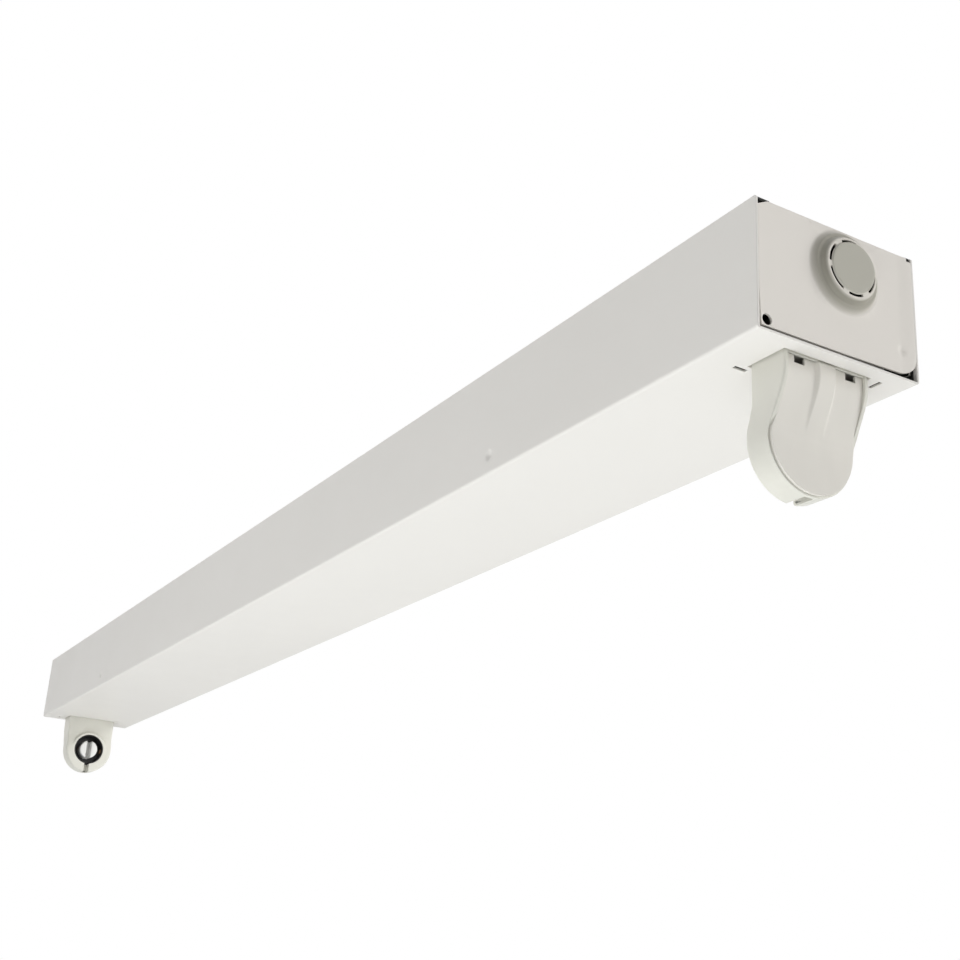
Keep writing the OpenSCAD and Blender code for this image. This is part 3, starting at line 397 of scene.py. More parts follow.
def enamel(name, colour, rough):
    """Stove enamel on steel: faint orange peel, slow drift in tone and gloss."""
    material, nodes, links, shader, place = node_material(name, colour, rough)
    shader.inputs["IOR"].default_value = 1.4
    drift = noise(nodes, links, place, scale=9, detail=2, stretch=(0.4, 1, 1))
    colour_between(nodes, links, drift, 0.35, 0.65, (shade(colour, 0.965), colour), shader)
    gloss = noise(nodes, links, place, scale=60, detail=3)
    value_between(nodes, links, gloss, rough * 0.88, rough * 1.12, shader.inputs["Roughness"])
    peel = noise(nodes, links, place, scale=700, detail=1)
    bump(nodes, links, peel, height=0.00003, strength=0.25, shader=shader)
    return material


# Painted shade on each boss, as a tone at each radius in mm from the knock-out to the flat plate: darkest
# on the flank, with a darker knock-out disc
BOSS_SHADE_TONES = ((6.3, (0.6, 0.61, 0.57)), (6.7, (0.92, 0.92, 0.9)), (7.6, (0.9, 0.9, 0.88)),
              (8.1, (0.42, 0.42, 0.38)), (9.6, (0.5, 0.5, 0.46)), (11.2, (1, 1, 1)))
BOSS_SHADE_R = 12.5


def painted_boss_shade(material):
    """Painted shade on each drawn boss: the base colour times a tone that goes with the radius.

    The boss of the far plate is that of the near one after half a turn, so y takes the sign of x.
    """
    nodes, links = material.node_tree.nodes, material.node_tree.links
    shader = nodes["Principled BSDF"]
    place = nodes["Texture Coordinate"]
    split = nodes.new("ShaderNodeSeparateXYZ")
    links.new(place.outputs["Object"], split.inputs["Vector"])
    end = math_node(nodes, links, "SIGN", split.outputs["X"])
    plate = nodes.new("ShaderNodeCombineXYZ")
    links.new(math_node(nodes, links, "MULTIPLY", split.outputs["Y"], end), plate.inputs["Y"])
    links.new(split.outputs["Z"], plate.inputs["Z"])
    radius = nodes.new("ShaderNodeVectorMath")
    radius.operation = "DISTANCE"
    radius.inputs[1].default_value = (0, BOSS_Y * MM, -BOSS_Z * MM)
    links.new(plate.outputs[0], radius.inputs[0])
    share = nodes.new("ShaderNodeMapRange")
    share.inputs["From Max"].default_value = BOSS_SHADE_R * MM
    links.new(radius.outputs["Value"], share.inputs["Value"])
    tone = nodes.new("ShaderNodeValToRGB")
    elements = tone.color_ramp.elements
    while len(elements) < len(BOSS_SHADE_TONES):
        elements.new(0.5)
    for element, (r, colour) in zip(elements, BOSS_SHADE_TONES):
        element.position = r / BOSS_SHADE_R
        element.color = (*colour, 1)
    links.new(share.outputs["Result"], tone.inputs["Fac"])
    product = nodes.new("ShaderNodeMix")
    product.data_type = "RGBA"
    product.blend_type = "MULTIPLY"
    product.inputs["Factor"].default_value = 1
    links.new(shader.inputs["Base Color"].links[0].from_socket, product.inputs["A"])
    links.new(tone.outputs["Color"], product.inputs["B"])
    links.new(product.outputs["Result"], shader.inputs["Base Color"])


def moulded(name, colour, rough, grain=2500, relief=0.00002, drift=0.96):
    """Moulded plastic: a fine spark-eroded grain and slight flow marks in the tone."""
    material, nodes, links, shader, place = node_material(name, colour, rough)
    shader.inputs["IOR"].default_value = 1.5
    flow = noise(nodes, links, place, scale=120, detail=2, stretch=(1, 1, 0.35))
    colour_between(nodes, links, flow, 0.35, 0.65, (shade(colour, drift), colour), shader)
    value_between(nodes, links, flow, rough * 0.85, rough * 1.2, shader.inputs["Roughness"])
    pits = noise(nodes, links, place, scale=grain, detail=2)
    bump(nodes, links, pits, height=relief, strength=0.2, shader=shader)
    return material


def bare_metal(name, colour, rough, grain=900, stretch=(0.03, 1, 1)):
    """Rolled or plated metal: fine lines along the piece in its tone and gloss."""
    material, nodes, links, shader, place = node_material(name, colour, rough, 1.0)
    lines = noise(nodes, links, place, scale=grain, detail=4, stretch=stretch)
    colour_between(nodes, links, lines, 0.3, 0.7, (shade(colour, 0.86), colour), shader)
    value_between(nodes, links, lines, rough * 0.75, rough * 1.3, shader.inputs["Roughness"])
    bump(nodes, links, lines, height=0.00001, strength=0.2, shader=shader)
    return material


def flecked(name, colour, fleck, rough, scale=800):
    """Sintered, pressed or laminated stuff: small flecks of a second colour."""
    material, nodes, links, shader, place = node_material(name, colour, rough)
    grains = noise(nodes, links, place, scale=scale, detail=5)
    colour_between(nodes, links, grains, 0.42, 0.62, (colour, fleck), shader)
    bump(nodes, links, grains, height=0.00004, strength=0.3, shader=shader)
    return material


def turns(name, colour, gap_colour, rough, scale):
    """Layers of thin round wire: waves of tone and relief across the height of the piece."""
    material, nodes, links, shader, place = node_material(name, colour, rough, 0.9)
    waves = nodes.new("ShaderNodeTexWave")
    waves.bands_direction = "Z"
    waves.inputs["Scale"].default_value = scale
    links.new(place.outputs["Object"], waves.inputs["Vector"])
    colour_between(nodes, links, waves.outputs["Fac"], 0.1, 0.6, (gap_colour, colour), shader)
    bump(nodes, links, waves.outputs["Fac"], height=0.0001, strength=0.6, shader=shader)
    return material


def two_colour_wire(name, colour, stripe, rough):
    """Insulation with a second colour as a stripe along the wire."""
    material, nodes, links, shader, place = node_material(name, colour, rough)
    waves = nodes.new("ShaderNodeTexWave")
    waves.bands_direction = "Y"
    waves.inputs["Scale"].default_value = 160
    waves.inputs["Distortion"].default_value = 1
    links.new(place.outputs["Object"], waves.inputs["Vector"])
    colour_between(nodes, links, waves.outputs["Fac"], 0.49, 0.51, (colour, stripe), shader)
    pits = noise(nodes, links, place, scale=1500, detail=2)
    bump(nodes, links, pits, height=0.00002, strength=0.2, shader=shader)
    return material


# The sheets' inner faces and the pan's corner lips take a backing coat made near black: painted shade for
# the dark inside of the box, seen through its gaps, slits and notches
BACKING_AND_SHADE = flecked("backing_coat_and_painted_shade", (0.03, 0.03, 0.03), (0.05, 0.05, 0.048), 0.8, 600)
PAINT = enamel("white_stove_enamel", (0.79, 0.77, 0.735), 0.38)
PAN_PAINT = enamel("white_enamel_pan", (0.8, 0.765, 0.715), 0.38)
# Painted shade on the end plates' bosses: a grey flank and a darker knock-out disc
painted_boss_shade(PAN_PAINT)
HOLDER = moulded("white_lampholder_moulding", (0.72, 0.71, 0.645), 0.4)
BACK = moulded("white_back_cover_moulding", (0.76, 0.735, 0.68), 0.4)
BLACK = moulded("black_ring_moulding", (0.012, 0.012, 0.013), 0.32, drift=0.8)
ROTOR = moulded("white_rotor_moulding", (0.8, 0.8, 0.78), 0.28)
RUBBER = flecked("black_grommet_rubber", (0.02, 0.02, 0.02), (0.035, 0.035, 0.035), 0.75, 1500)
MATERIAL_OF_SLOT = {
    "sheet": PAINT,
    "grommet": RUBBER,
    "holder": HOLDER,
    "carrier": BLACK,
    "rotor": ROTOR,
    "contact": bare_metal("phosphor_bronze_strip", (0.72, 0.45, 0.25), 0.3, stretch=(1, 1, 0.05)),
    "ballast_case": bare_metal("zinc_plated_sheet", (0.62, 0.63, 0.64), 0.35),
    "board": flecked("tan_circuit_laminate", (0.42, 0.27, 0.1), (0.5, 0.34, 0.14), 0.5),
    "ferrite": flecked("dark_ferrite", (0.03, 0.03, 0.033), (0.07, 0.07, 0.075), 0.6),
    "winding": turns("enamelled_copper_turns", (0.62, 0.2, 0.08), (0.12, 0.03, 0.01), 0.35, 900),
    "capacitor": moulded("dark_capacitor_sleeve", (0.02, 0.03, 0.09), 0.35),
    "terminal": moulded("natural_nylon", (0.72, 0.71, 0.66), 0.4),
    "clamp": bare_metal("turned_brass", (0.7, 0.5, 0.2), 0.28),
    "fastener": bare_metal("zinc_plated_fastener", (0.6, 0.6, 0.58), 0.32, 1500, (1, 1, 1)),
    "wire_white": moulded("white_wire_insulation", (0.72, 0.72, 0.7), 0.45),
    "wire_red": moulded("red_wire_insulation", (0.42, 0.02, 0.015), 0.45),
    "wire_blue": moulded("blue_wire_insulation", (0.015, 0.05, 0.28), 0.45),
    "wire_brown": moulded("brown_wire_insulation", (0.1, 0.035, 0.012), 0.45),
    "wire_earth": two_colour_wire("green_yellow_insulation", (0.04, 0.26, 0.04), (0.65, 0.5, 0.02), 0.45),
}


def dress(obj, body, slot, *nodes):
    """Gives a finished piece its body and hides the nodes that it stands for; slot is not used."""
    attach(obj, body)
    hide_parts(*nodes)


# Cover channel

# Slits beside each lampholder: x from its face, and y, for the near end
SLITS = ((-0.9, 0.3, -15.9, -12.0), (10.2, 14.0, 16.4, 17.5))


def mirrored_ends(places):
    """Each (x0, x1, y0, y1) of the near end with its half-turn about Z for the far end."""
    places = np.asarray(places, float)
    return np.concatenate([places, -places[:, [1, 0, 3, 2]]])


def paint_ends(obj):
    """Gives every face near both ends the first material, so that the inner face's near-black painted
    shade stops short of the ends.
    """
    faces = obj.data.polygons
    centres = np.empty(3 * len(faces))
    faces.foreach_get("center", centres)
    coats = np.empty(len(faces), int)
    faces.foreach_get("material_index", coats)
    coats[np.abs(centres[::3]) > (END_X - PAINTED_IN) * MM] = 0
    faces.foreach_set("material_index", coats)


def cover_channel():
    """Folded channel: a grid of length and developed width, with the cut-outs and slits left out."""
    half = BOX_W / 2
    width = folded_side(half, COVER_BEND, BOX_H)
    bends = half - COVER_BEND + COVER_BEND * np.pi / 2 * np.linspace(0, 1, 9)
    cuts = [(FACE_X + NECK_LEAN - FOOT_PLAY, FACE_X + FOOT_DEPTH + FOOT_PLAY,
             -HEAD_R - HOLDER_GAP, HEAD_R + HOLDER_GAP)]
    cuts += [(FACE_X + x0, FACE_X + x1, y0, y1) for x0, x1, y0, y1 in SLITS]
    cuts = mirrored_ends(cuts)
    dimple_s = width - DIMPLE_Z
    dimple_outer = DIMPLE_R + 0.8
    radii = (0.5, 0.8, 1.2, DIMPLE_R, DIMPLE_R + 0.4, dimple_outer)
    ends = np.array([END_X, END_X - PAINTED_IN, END_X - SNIP])
    fixed_x = [ends, -ends, cuts[:, 0], cuts[:, 1]]
    filler_x = [np.linspace(-END_X, END_X, 60)]
    fixed_s = [[-width, width, width - SNIP, SNIP - width], bends, -bends, cuts[:, 2], cuts[:, 3]]
    filler_s = [np.linspace(-width, width, 40)]
    for side in (-1, 1):
        add_round(fixed_x, filler_x, side * DIMPLE_X, DIMPLE_PATCH, radii, 8)
        add_round(fixed_s, filler_s, side * dimple_s, DIMPLE_PATCH, radii, 8)
    x_lines = stations(fixed_x, filler_x)
    s_lines = stations(fixed_s, filler_s)
    x, s = np.meshgrid(x_lines, s_lines, indexing="ij")
    depth = np.zeros_like(x)
    for side_x in (-1, 1):
        for side_s in (-1, 1):
            centre = (side_x * DIMPLE_X, side_s * dimple_s)
            x, s = round_off(x, s, centre, DIMPLE_PATCH, dimple_outer)
            r = np.hypot(x - centre[0], s - centre[1])
            depth += DIMPLE_DEPTH * (1 - ramp(r, 0.3, DIMPLE_R + 0.5))
    y, h, ny, nh = fold(s, half, COVER_BEND)
    h = np.minimum(h, BOX_H - np.maximum(np.abs(x) - (END_X - SNIP), 0))
    points = np.stack([x, y - ny * depth, -BOX_H + h - nh * depth], axis=-1)
    xc, sc = cell_middles(x_lines, s_lines)
    keep = np.ones_like(xc, bool)
    for x0, x1, y0, y1 in cuts:
        keep &= ~((xc > x0) & (xc < x1) & (sc > y0) & (sc < y1))
    obj = new_piece("cover_channel_sheet", [sheet_cells(points, keep, flip=True)])
    # The inner face takes the near-black painted shade
    finish_piece(obj, [PAINT, BACKING_AND_SHADE], thickness=SHEET, edge=0.1)
    paint_ends(obj)
    dress(obj, FIXTURE, "sheet", "cover_channel")


# Mounting pan

def feature(x, s, patch, hole, straight=0.0, press=None):
    """A hole in the pan with its patch of the grid, and a seat's press if it has one.

    straight is the length of a slot between its round ends, and press is the seat's inner radius,
    outer radius and depth.
    """
    return x, s, patch, hole, straight, press


SCREW_SEAT = (3.7, 5.1, 1.6)
BLOCK_SEAT = (2.4, 3.8, 1.6)
ENTRY_WELL = (10.0, 11.6, 2.0)
PAN_FEATURES = [
    feature(x=-200.0, s=0.0, patch=4.4, hole=2.5, straight=7.0),
    feature(x=200.0, s=0.0, patch=4.4, hole=2.5, straight=7.0),
    feature(x=-177.0, s=0.0, patch=6.4, hole=2.0, press=SCREW_SEAT),
    feature(x=-39.0, s=0.0, patch=6.4, hole=2.0, press=SCREW_SEAT),
    feature(x=25.0, s=5.0, patch=4.6, hole=1.5, press=BLOCK_SEAT),
    feature(x=25.0, s=-5.0, patch=4.6, hole=1.5, press=BLOCK_SEAT),
    feature(x=ENTRY_X, s=0.0, patch=12.2, hole=7.0, press=ENTRY_WELL),
]


def pan_top():
    """Folded top and side flanges: the same kind of grid with its pressed seats, slots and holes."""
    width = folded_side(PAN_HALF, PAN_BEND, FLANGE_H)
    bends = PAN_HALF - PAN_BEND + PAN_BEND * np.pi / 2 * np.linspace(0, 1, 7)
    dimple_s = width - (FLANGE_H - DIMPLE_Z)
    dimple_holes = [feature(a * DIMPLE_X, b * dimple_s, patch=2.9, hole=2.1)
                    for a in (-1, 1) for b in (-1, 1)]
    features = PAN_FEATURES + dimple_holes
    bead_tip = np.linspace(-4, 1, 6)
    fixed_x = [[-FLANGE_END, FLANGE_END]]
    filler_x = [np.linspace(-FLANGE_END, FLANGE_END, 40), BEAD_END + bead_tip, -BEAD_END - bead_tip]
    fixed_s = [[-width, width], bends, -bends]
    filler_s = [np.linspace(-width, width, 30)]
    for side in (-1, 1):
        filler_s.append(side * BEAD_Y + np.linspace(-2.8, 2.8, 9))
    for fx, fs, patch, hole, straight, press in features:
        radii = [hole]
        if press:
            radii += list(np.linspace(press[0], press[1], 4))
        for side in ((-1, 1) if straight else (0,)):
            add_round(fixed_x, filler_x, fx + side * straight / 2, patch, radii, 6)
        add_round(fixed_s, filler_s, fs, patch, radii, 6)
    x_lines = stations(fixed_x, filler_x)
    s_lines = stations(fixed_s, filler_s)
    x, s = np.meshgrid(x_lines, s_lines, indexing="ij")
    xc, sc = cell_middles(x_lines, s_lines)
    keep = np.ones_like(xc, bool)
    depth = np.zeros_like(x)
    for side in (-1, 1):
        off = np.hypot(np.maximum(np.abs(x) - BEAD_END + BEAD_HALF, 0), s - side * BEAD_Y)
        bead = BEAD_DEPTH * (1 - ramp(off, BEAD_HALF - 1.2, BEAD_HALF + 0.6))
        depth = np.maximum(depth, bead)
    for fx, fs, patch, hole, straight, press in features:
        outer = press[1] if press else hole
        keep &= square_ring(xc, sc, (fx, fs), straight) > hole
        x, s = round_off(x, s, (fx, fs), patch, outer, straight)
        if press:
            r = np.hypot(x - fx, s - fs)
            depth = np.maximum(depth, press[2] * (1 - ramp(r, press[0], press[1])))
    y, h, ny, nh = fold(s, PAN_HALF, PAN_BEND)
    points = np.stack([x, y - ny * depth, -h + nh * depth], axis=-1)
    return sheet_cells(points, keep)


def boss_height(r):
    """Two soft steps up to the knock-out: the pressed rim and the ring that carries it."""
    rim = BOSS_RIM_H * (1 - ramp(r, 9.2, BOSS_R + 0.3))
    ring = (BOSS_H - BOSS_RIM_H) * (1 - ramp(r, 7.6, 8.9))
    return rim + ring


def plate_lines(start, bottom, small_v, centre, hole, mark):
    """Grid lines of an end plate across and down it, with all its edges and round features."""
    arc = PAN_BEND * np.pi / 2
    boss_radii = [KNOCKOUT_R, KNOCKOUT_R + KNOCKOUT_SLIT, 7.5, 7.9, 8.3, 8.7, 9.3, 9.7, 10.1,
                  BOSS_R, BOSS_R + 0.3, 5.8, 4.4, 2.6]
    flat_half = PAN_HALF - PAN_BEND
    fixed_y = [
        [-PLATE_HALF, PLATE_HALF, PLATE_HALF - SMALL_RELIEF, PLATE_HALF - CUT_W, -flat_half, flat_half],
        -PLATE_HALF + NOTCH_W * np.linspace(0, 1, 7),
        CORNER_R * np.array([0, 0.15, 0.4, 0.7, 1.0]) - PLATE_HALF,
        PLATE_HALF - CUT_W * np.array([0, 0.06, 0.2, 0.4, 0.7, 1.0]),
    ]
    fixed_v = [[start, 0, bottom, small_v, bottom - CUT_H], arc * np.linspace(0, 1, 7)]
    filler_y = [np.linspace(-PLATE_HALF, PLATE_HALF, 25)]
    filler_v = [np.linspace(arc, bottom, 20)]
    for place, half, radii, steps in ((centre, BOSS_PATCH, boss_radii, 26),
                                      (hole, HOLE_PATCH, [HOLE_R], 6),
                                      (mark, MARK_PATCH, [0.5, 1.2, MARK_R], 5)):
        add_round(fixed_y, filler_y, place[0], half, radii, steps)
        add_round(fixed_v, filler_v, place[1], half, radii, steps)
    y_lines = stations(fixed_y, filler_y)
    v_lines = stations(fixed_v, filler_v)
    y_lines = y_lines[np.abs(y_lines) <= PLATE_HALF + 1e-6]
    v_lines = v_lines[(v_lines >= start - 1e-6) & (v_lines <= bottom + 1e-6)]
    return y_lines, v_lines


def kept_plate_cells(y_lines, v_lines, small_v, centre, hole):
    """The cells of an end plate that are sheet: not its notches, its hole or the knock-out's slits."""
    yc, vc = cell_middles(y_lines, v_lines)
    keep = ~((vc < small_v) & (yc > PLATE_HALF - SMALL_RELIEF))
    keep &= ~((vc < 0) & (np.abs(yc) > PAN_HALF - PAN_BEND))
    first_row = vc < v_lines[v_lines > 1e-6][0]
    keep &= ~((vc > 0) & first_row & (yc < -PLATE_HALF + NOTCH_W))
    keep &= square_ring(yc, vc, hole) > HOLE_R
    ring = square_ring(yc, vc, centre)
    angle = np.degrees(np.arctan2(vc - centre[1], yc - centre[0])) % (360 / KNOCKOUT_TABS)
    between_tabs = angle < 360 / KNOCKOUT_TABS - TAB_ANGLE
    return keep & ~((ring > KNOCKOUT_R) & (ring < KNOCKOUT_R + KNOCKOUT_SLIT) & between_tabs)


def lower_edge(y, bottom):
    """Developed height of an end plate's lower edge, which rises to +Y and has rounded corners."""
    edge = bottom - GAP_RISE * (y + PLATE_HALF) / (2 * PLATE_HALF)
    for side, width, height in ((1, CUT_W, CUT_H), (-1, CORNER_R, CORNER_R)):
        share = np.clip((side * y - (PLATE_HALF - width)) / width, 0, 1)
        edge -= height * (1 - np.sqrt(1 - share ** 2))
    return edge


def end_plate(turn):
    """Folded end: a grid of width and developed height with its boss, notches and small holes.

    turn is 1 for the near end and -1 for the far one, which is the near one after half a turn.
    """
    arc = PAN_BEND * np.pi / 2
    start = -(PLATE_X - PAN_BEND - FLANGE_END)
    bottom = arc + PLATE_H + 0.5 - PAN_BEND
    centre = (BOSS_Y, arc + BOSS_Z - PAN_BEND)
    hole = (-PLATE_HALF + HOLE_IN, bottom - HOLE_UP)
    mark = (MARK_Y, bottom - MARK_UP)
    small_v = arc + SMALL_RELIEF - PAN_BEND
    y_lines, v_lines = plate_lines(start, bottom, small_v, centre, hole, mark)
    y, v = np.meshgrid(y_lines, v_lines, indexing="ij")
    keep = kept_plate_cells(y_lines, v_lines, small_v, centre, hole)
    y, v = round_off(y, v, centre, BOSS_PATCH, BOSS_R + 0.3)
    y, v = round_off(y, v, hole, HOLE_PATCH, HOLE_R)
    y, v = round_off(y, v, mark, MARK_PATCH, MARK_R)
    v = np.minimum(v, lower_edge(y, bottom))
    # Both side edges reach out a little, the -Y one most at its foot, and the +Y one stands forward
    forward = 0.27 * ramp(y, PLATE_HALF - 5, PLATE_HALF)
    near_reach = (0.12 + 0.4 * ramp(v, 22, bottom)) * (1 - ramp(y, -PLATE_HALF, -PLATE_HALF + 0.9))
    far_reach = 0.14 * ramp(y, PLATE_HALF - 0.5, PLATE_HALF)
    y = y + near_reach + far_reach
    # The notch slides the highest points of the face down to its sloping edge
    drop = NOTCH_H * np.clip(1 - (y + PLATE_HALF) / NOTCH_W, 0, 1)
    in_bend = PAN_BEND * np.arccos(np.clip(1 - drop / PAN_BEND, 0, 1))
    edge = in_bend + np.maximum(drop - PAN_BEND, 0)
    v = np.where((drop > 0) & (v > 0), np.maximum(v, edge), v)
    # The knock-out is pushed out of the boss, most at its upper +Y side
    r = np.hypot(y - centre[0], v - centre[1])
    upper_right = (0.8 * (y - centre[0]) + 0.6 * (centre[1] - v)) / KNOCKOUT_R
    pushed_out = (0.6 + 0.35 * upper_right) * (1 - ramp(r, KNOCKOUT_R - 0.35, KNOCKOUT_R))
    out = boss_height(r) + pushed_out + forward
    out -= MARK_DEPTH * (1 - ramp(np.hypot(y - mark[0], v - mark[1]), 0.2, 1.6))
    bend = np.clip(v / PAN_BEND, 0, np.pi / 2)
    x = PLATE_X - PAN_BEND + np.minimum(v, 0) + PAN_BEND * np.sin(bend)
    z = -PAN_BEND * (1 - np.cos(bend)) - np.maximum(v - arc, 0)
    x = x + out * np.sin(bend)
    points = np.stack([turn * x, turn * y, z], axis=-1)
    return sheet_cells(points, keep, flip=True)


def corner_lips():
    """The top's corners above the notches, level to just short of each plate's face."""
    lap = 0.1
    notched = (-PLATE_HALF - lap, -PLATE_HALF + NOTCH_W)
    relieved = (PLATE_HALF - SMALL_RELIEF, PLATE_HALF + lap)
    parts = []
    for turn in (1, -1):
        for across in (notched, relieved):
            x, y = np.meshgrid((FLANGE_END + lap, PLATE_X - LIP_BACK), across, indexing="ij")
            points = np.stack([turn * x, turn * y, 0 * x - 0.01], axis=-1)
            parts.append(sheet_cells(points, np.ones((1, 1), bool)))
    return parts


def mounting_pan():
    """The pan's top with its flanges and the two folded ends, as one piece of sheet."""
    obj = new_piece("mounting_pan_sheet", [pan_top(), end_plate(1), end_plate(-1)])
    finish_piece(obj, [PAN_PAINT, BACKING_AND_SHADE], thickness=SHEET, edge=0.08)
    dress(obj, FIXTURE, "sheet", "mounting_pan")
    # The lips are all near-black backing: painted shade above the notches
    lips = new_piece("mounting_pan_lips", corner_lips())
    finish_piece(lips, [BACKING_AND_SHADE], thickness=SHEET)
    dress(lips, FIXTURE, "sheet", "mounting_pan")


# Lampholders. They are drawn with x towards the tube, z up and the tube's axis at 0, 0

SLOT = SLIT_W / 2
LEAN_TOP = SLOPE_START + LEAN_H
NECK_TOP = SLOPE_START + SLOPE_H
POCKET = 0.9
LAND_HALF = 2.8
WINDOW_Y, WINDOW_W, WINDOW_H = 7.9, 3.2, 1.8
EDGE_R = 1.0
RIM_R = 0.15
WAY_WALL = 0.9
FLANGE_HALF = HEAD_R + 0.3 + 3.1
FLANGE_T = 2.2
# Front outline of a rotor's cheek: how far it is drawn in, and x
ROTOR_FRONT = ((0, -ROTOR_BACK), (0, -3.0), (0, -0.8), (0.08, -0.55), (0.22, -0.38), (0.45, -0.3),
               (0.8, -0.27), (1.3, -0.25))
ROTOR_FLANGE_T = 0.4


def placed(points, end):
    """Moves lampholder points to the near or the far end, which face each other."""
    x, y, z = np.moveaxis(np.asarray(points, float), -1, 0)
    if end == "near":
        return np.stack([FACE_X - x, -y, AXIS_Z + z], axis=-1)
    return np.stack([x - FACE_X, y, AXIS_Z + z], axis=-1)


def holder_piece(name, end, parts):
    """One object from closed shapes drawn in the lampholder's own place."""
    obj = new_piece(name, [(placed(points, end), faces) for points, faces in parts])
    face_outwards(obj)
    return obj


def front_depth(y, z):
    """Distance of the front behind the face: a soft lean above the head, but none round the ring."""
    lean = NECK_LEAN * ramp(z, SLOPE_START - 0.5, LEAN_TOP + 1)
    return lean * ramp(np.hypot(y, z), COLLAR_R - 0.2, COLLAR_R + 0.6)


def back_depth(z):
    """Distance of the back behind the face: a smooth rise from the head's depth to the foot's."""
    return HEAD_DEPTH + (FOOT_DEPTH - HEAD_DEPTH) * ramp(z, SLOPE_START - 2.5, NECK_TOP + 2.5)


def head_path(inset):
    """Points along the head's outline at a distance inside it, from the pin slit round and back.

    An arc about the tube's axis that starts half a slit from the middle, a straight side up to
    the foot's top, the top, and the same down the other side.
    """
    r, top = HEAD_R - inset, FOOT_TOP - inset
    start = np.arcsin(SLOT / r)
    angle = np.linspace(start, np.pi / 2, 33)
    rise = np.linspace(0, 1, 29)[1:] ** 1.15
    y = np.concatenate([r * np.sin(angle), np.full(len(rise), r)])
    z = np.concatenate([-r * np.cos(angle), top * rise])
    across = r * np.linspace(1, -1, 10)[1:-1]
    return (np.concatenate([y, across, -y[::-1]]),
            np.concatenate([z, np.full(len(across), top), z[::-1]]))


def ring_path():
    """Points on the ring's hole in the same directions as those of the outline."""
    r = RING_HOLE_R
    y, z = head_path(0)
    angle = np.arctan2(y, -z)
    start = np.arcsin(SLOT / HEAD_R)
    own_start = np.arcsin(SLOT / r)
    share = np.clip((np.abs(angle) - start) / (np.pi / 2 - start), 0, 1)
    angle += np.sign(angle) * (own_start - start) * (1 - share)
    return r * np.sin(angle), -r * np.cos(angle)


def block(x0, x1, y0, y1, z0, z1):
    """A plain box between two corners."""
    corners = [(x, y, z) for x in (x0, x1) for y in (y0, y1) for z in (z0, z1)]
    faces = [(0, 1, 3, 2), (4, 6, 7, 5), (0, 4, 5, 1), (2, 3, 7, 6), (0, 2, 6, 4), (1, 5, 7, 3)]
    return np.array(corners, float), [list(face) for face in faces]


def rim_depth(z):
    """Depth of the housing's rear rim: under the back cover at the head, as deep as it above."""
    return back_depth(z) - BACK_T * (1 - ramp(z, 0.5, 5))


def rim_round(z):
    """Radius of the rim's outer edge: small round the head, large along the cheeks."""
    return RIM_R + (CHEEK_R - RIM_R) * ramp(z, 1, 7)


def holder_shell():
    """The housing: one closed section carried along the outline and capped at the pin slit.

    The section runs from the ring's hole over the front, round its edge, along the side to the
    rim at the back, and forward again inside the wall.
    """
    hole_y, hole_z = ring_path()
    columns = [(hole_y, hole_z, 0 * hole_z - WALL), (hole_y, hole_z, 0 * hole_z)]
    edge_y, edge_z = head_path(EDGE_R)
    reach = np.hypot(edge_y - hole_y, edge_z - hole_z)
    for r in (COLLAR_R - 0.2, COLLAR_R, COLLAR_R + 0.2, COLLAR_R + 0.4, COLLAR_R + 0.6):
        share = (r - RING_HOLE_R) / reach
        y = hole_y + share * (edge_y - hole_y)
        z = hole_z + share * (edge_z - hole_z)
        columns.append((y, z, -front_depth(y, z)))
    collar_y, collar_z = y, z
    for share in (0.2, 0.4, 0.6, 0.8, 1.0):
        y = collar_y + share * (edge_y - collar_y)
        z = collar_z + share * (edge_z - collar_z)
        columns.append((y, z, -front_depth(y, z)))
    for turn in np.radians((18, 36, 54, 72, 90)):
        y, z = head_path(EDGE_R * (1 - np.sin(turn)))
        columns.append((y, z, -front_depth(y, z) - EDGE_R * (1 - np.cos(turn))))
    y, z = head_path(0)
    front = front_depth(y, z) + EDGE_R
    rim = rim_depth(z) - rim_round(z)
    for share in (0.25, 0.5, 0.75, 1.0):
        columns.append((y, z, -(front + share * (rim - front))))
    for turn in np.radians((15, 30, 45, 57)):
        inset, left = 1 - np.cos(turn), 1 - np.sin(turn)
        y, z = head_path(inset * CHEEK_R)
        y = y + (CHEEK_R - rim_round(z)) * inset * np.clip(y / HEAD_R, -1, 1)
        columns.append((y, z, -rim_depth(z) + left * rim_round(z)))
    y, z = head_path(WALL)
    columns.append((y, z, -rim_depth(z) + 0.16 * rim_round(z)))
    columns.append((y, z, -front_depth(y, z) - WALL))
    columns.append((collar_y, collar_z, -front_depth(collar_y, collar_z) - WALL))
    return swept(np.stack([np.stack([x, y, z], axis=-1) for y, z, x in columns], axis=1))


def holder_body(end):
    """Housing with the walls of the pins' way in, the foot's closed back and its flange."""
    way_back = -GROOVE_DEPTH - WAY_WALL
    way_front = -0.7
    way_low, way_high = -HEAD_R + 0.6, -RING_R - 0.05
    way_half = SLOT + 0.03
    foot_half = HEAD_R - WALL
    parts = [
        holder_shell(),
        block(-HEAD_DEPTH + 0.75, -GROOVE_DEPTH, -way_half, way_half, -HEAD_R + 0.08, -HEAD_R + WALL),
        block(way_back, way_front, SLOT, SLOT + WAY_WALL, way_low, way_high),
        block(way_back, way_front, -SLOT - WAY_WALL, -SLOT, way_low, way_high),
        block(way_back, -GROOVE_DEPTH, -way_half, way_half, way_low, way_high),
        block(-FOOT_DEPTH + 0.4, -FOOT_DEPTH + WALL, -foot_half, foot_half,
              BACK_TOP + 0.15, FOOT_TOP - WALL),
        block(-FOOT_DEPTH - 1.8, -0.2, -FLANGE_HALF, FLANGE_HALF, SHEET_Z, SHEET_Z + FLANGE_T),
    ]
    obj = holder_piece(f"{end}_lampholder_housing", end, parts)
    finish_piece(obj, [HOLDER], edge=0.1, smooth_angle=40)
    dress(obj, FIXTURE, "holder", f"{end}_lampholder_body")


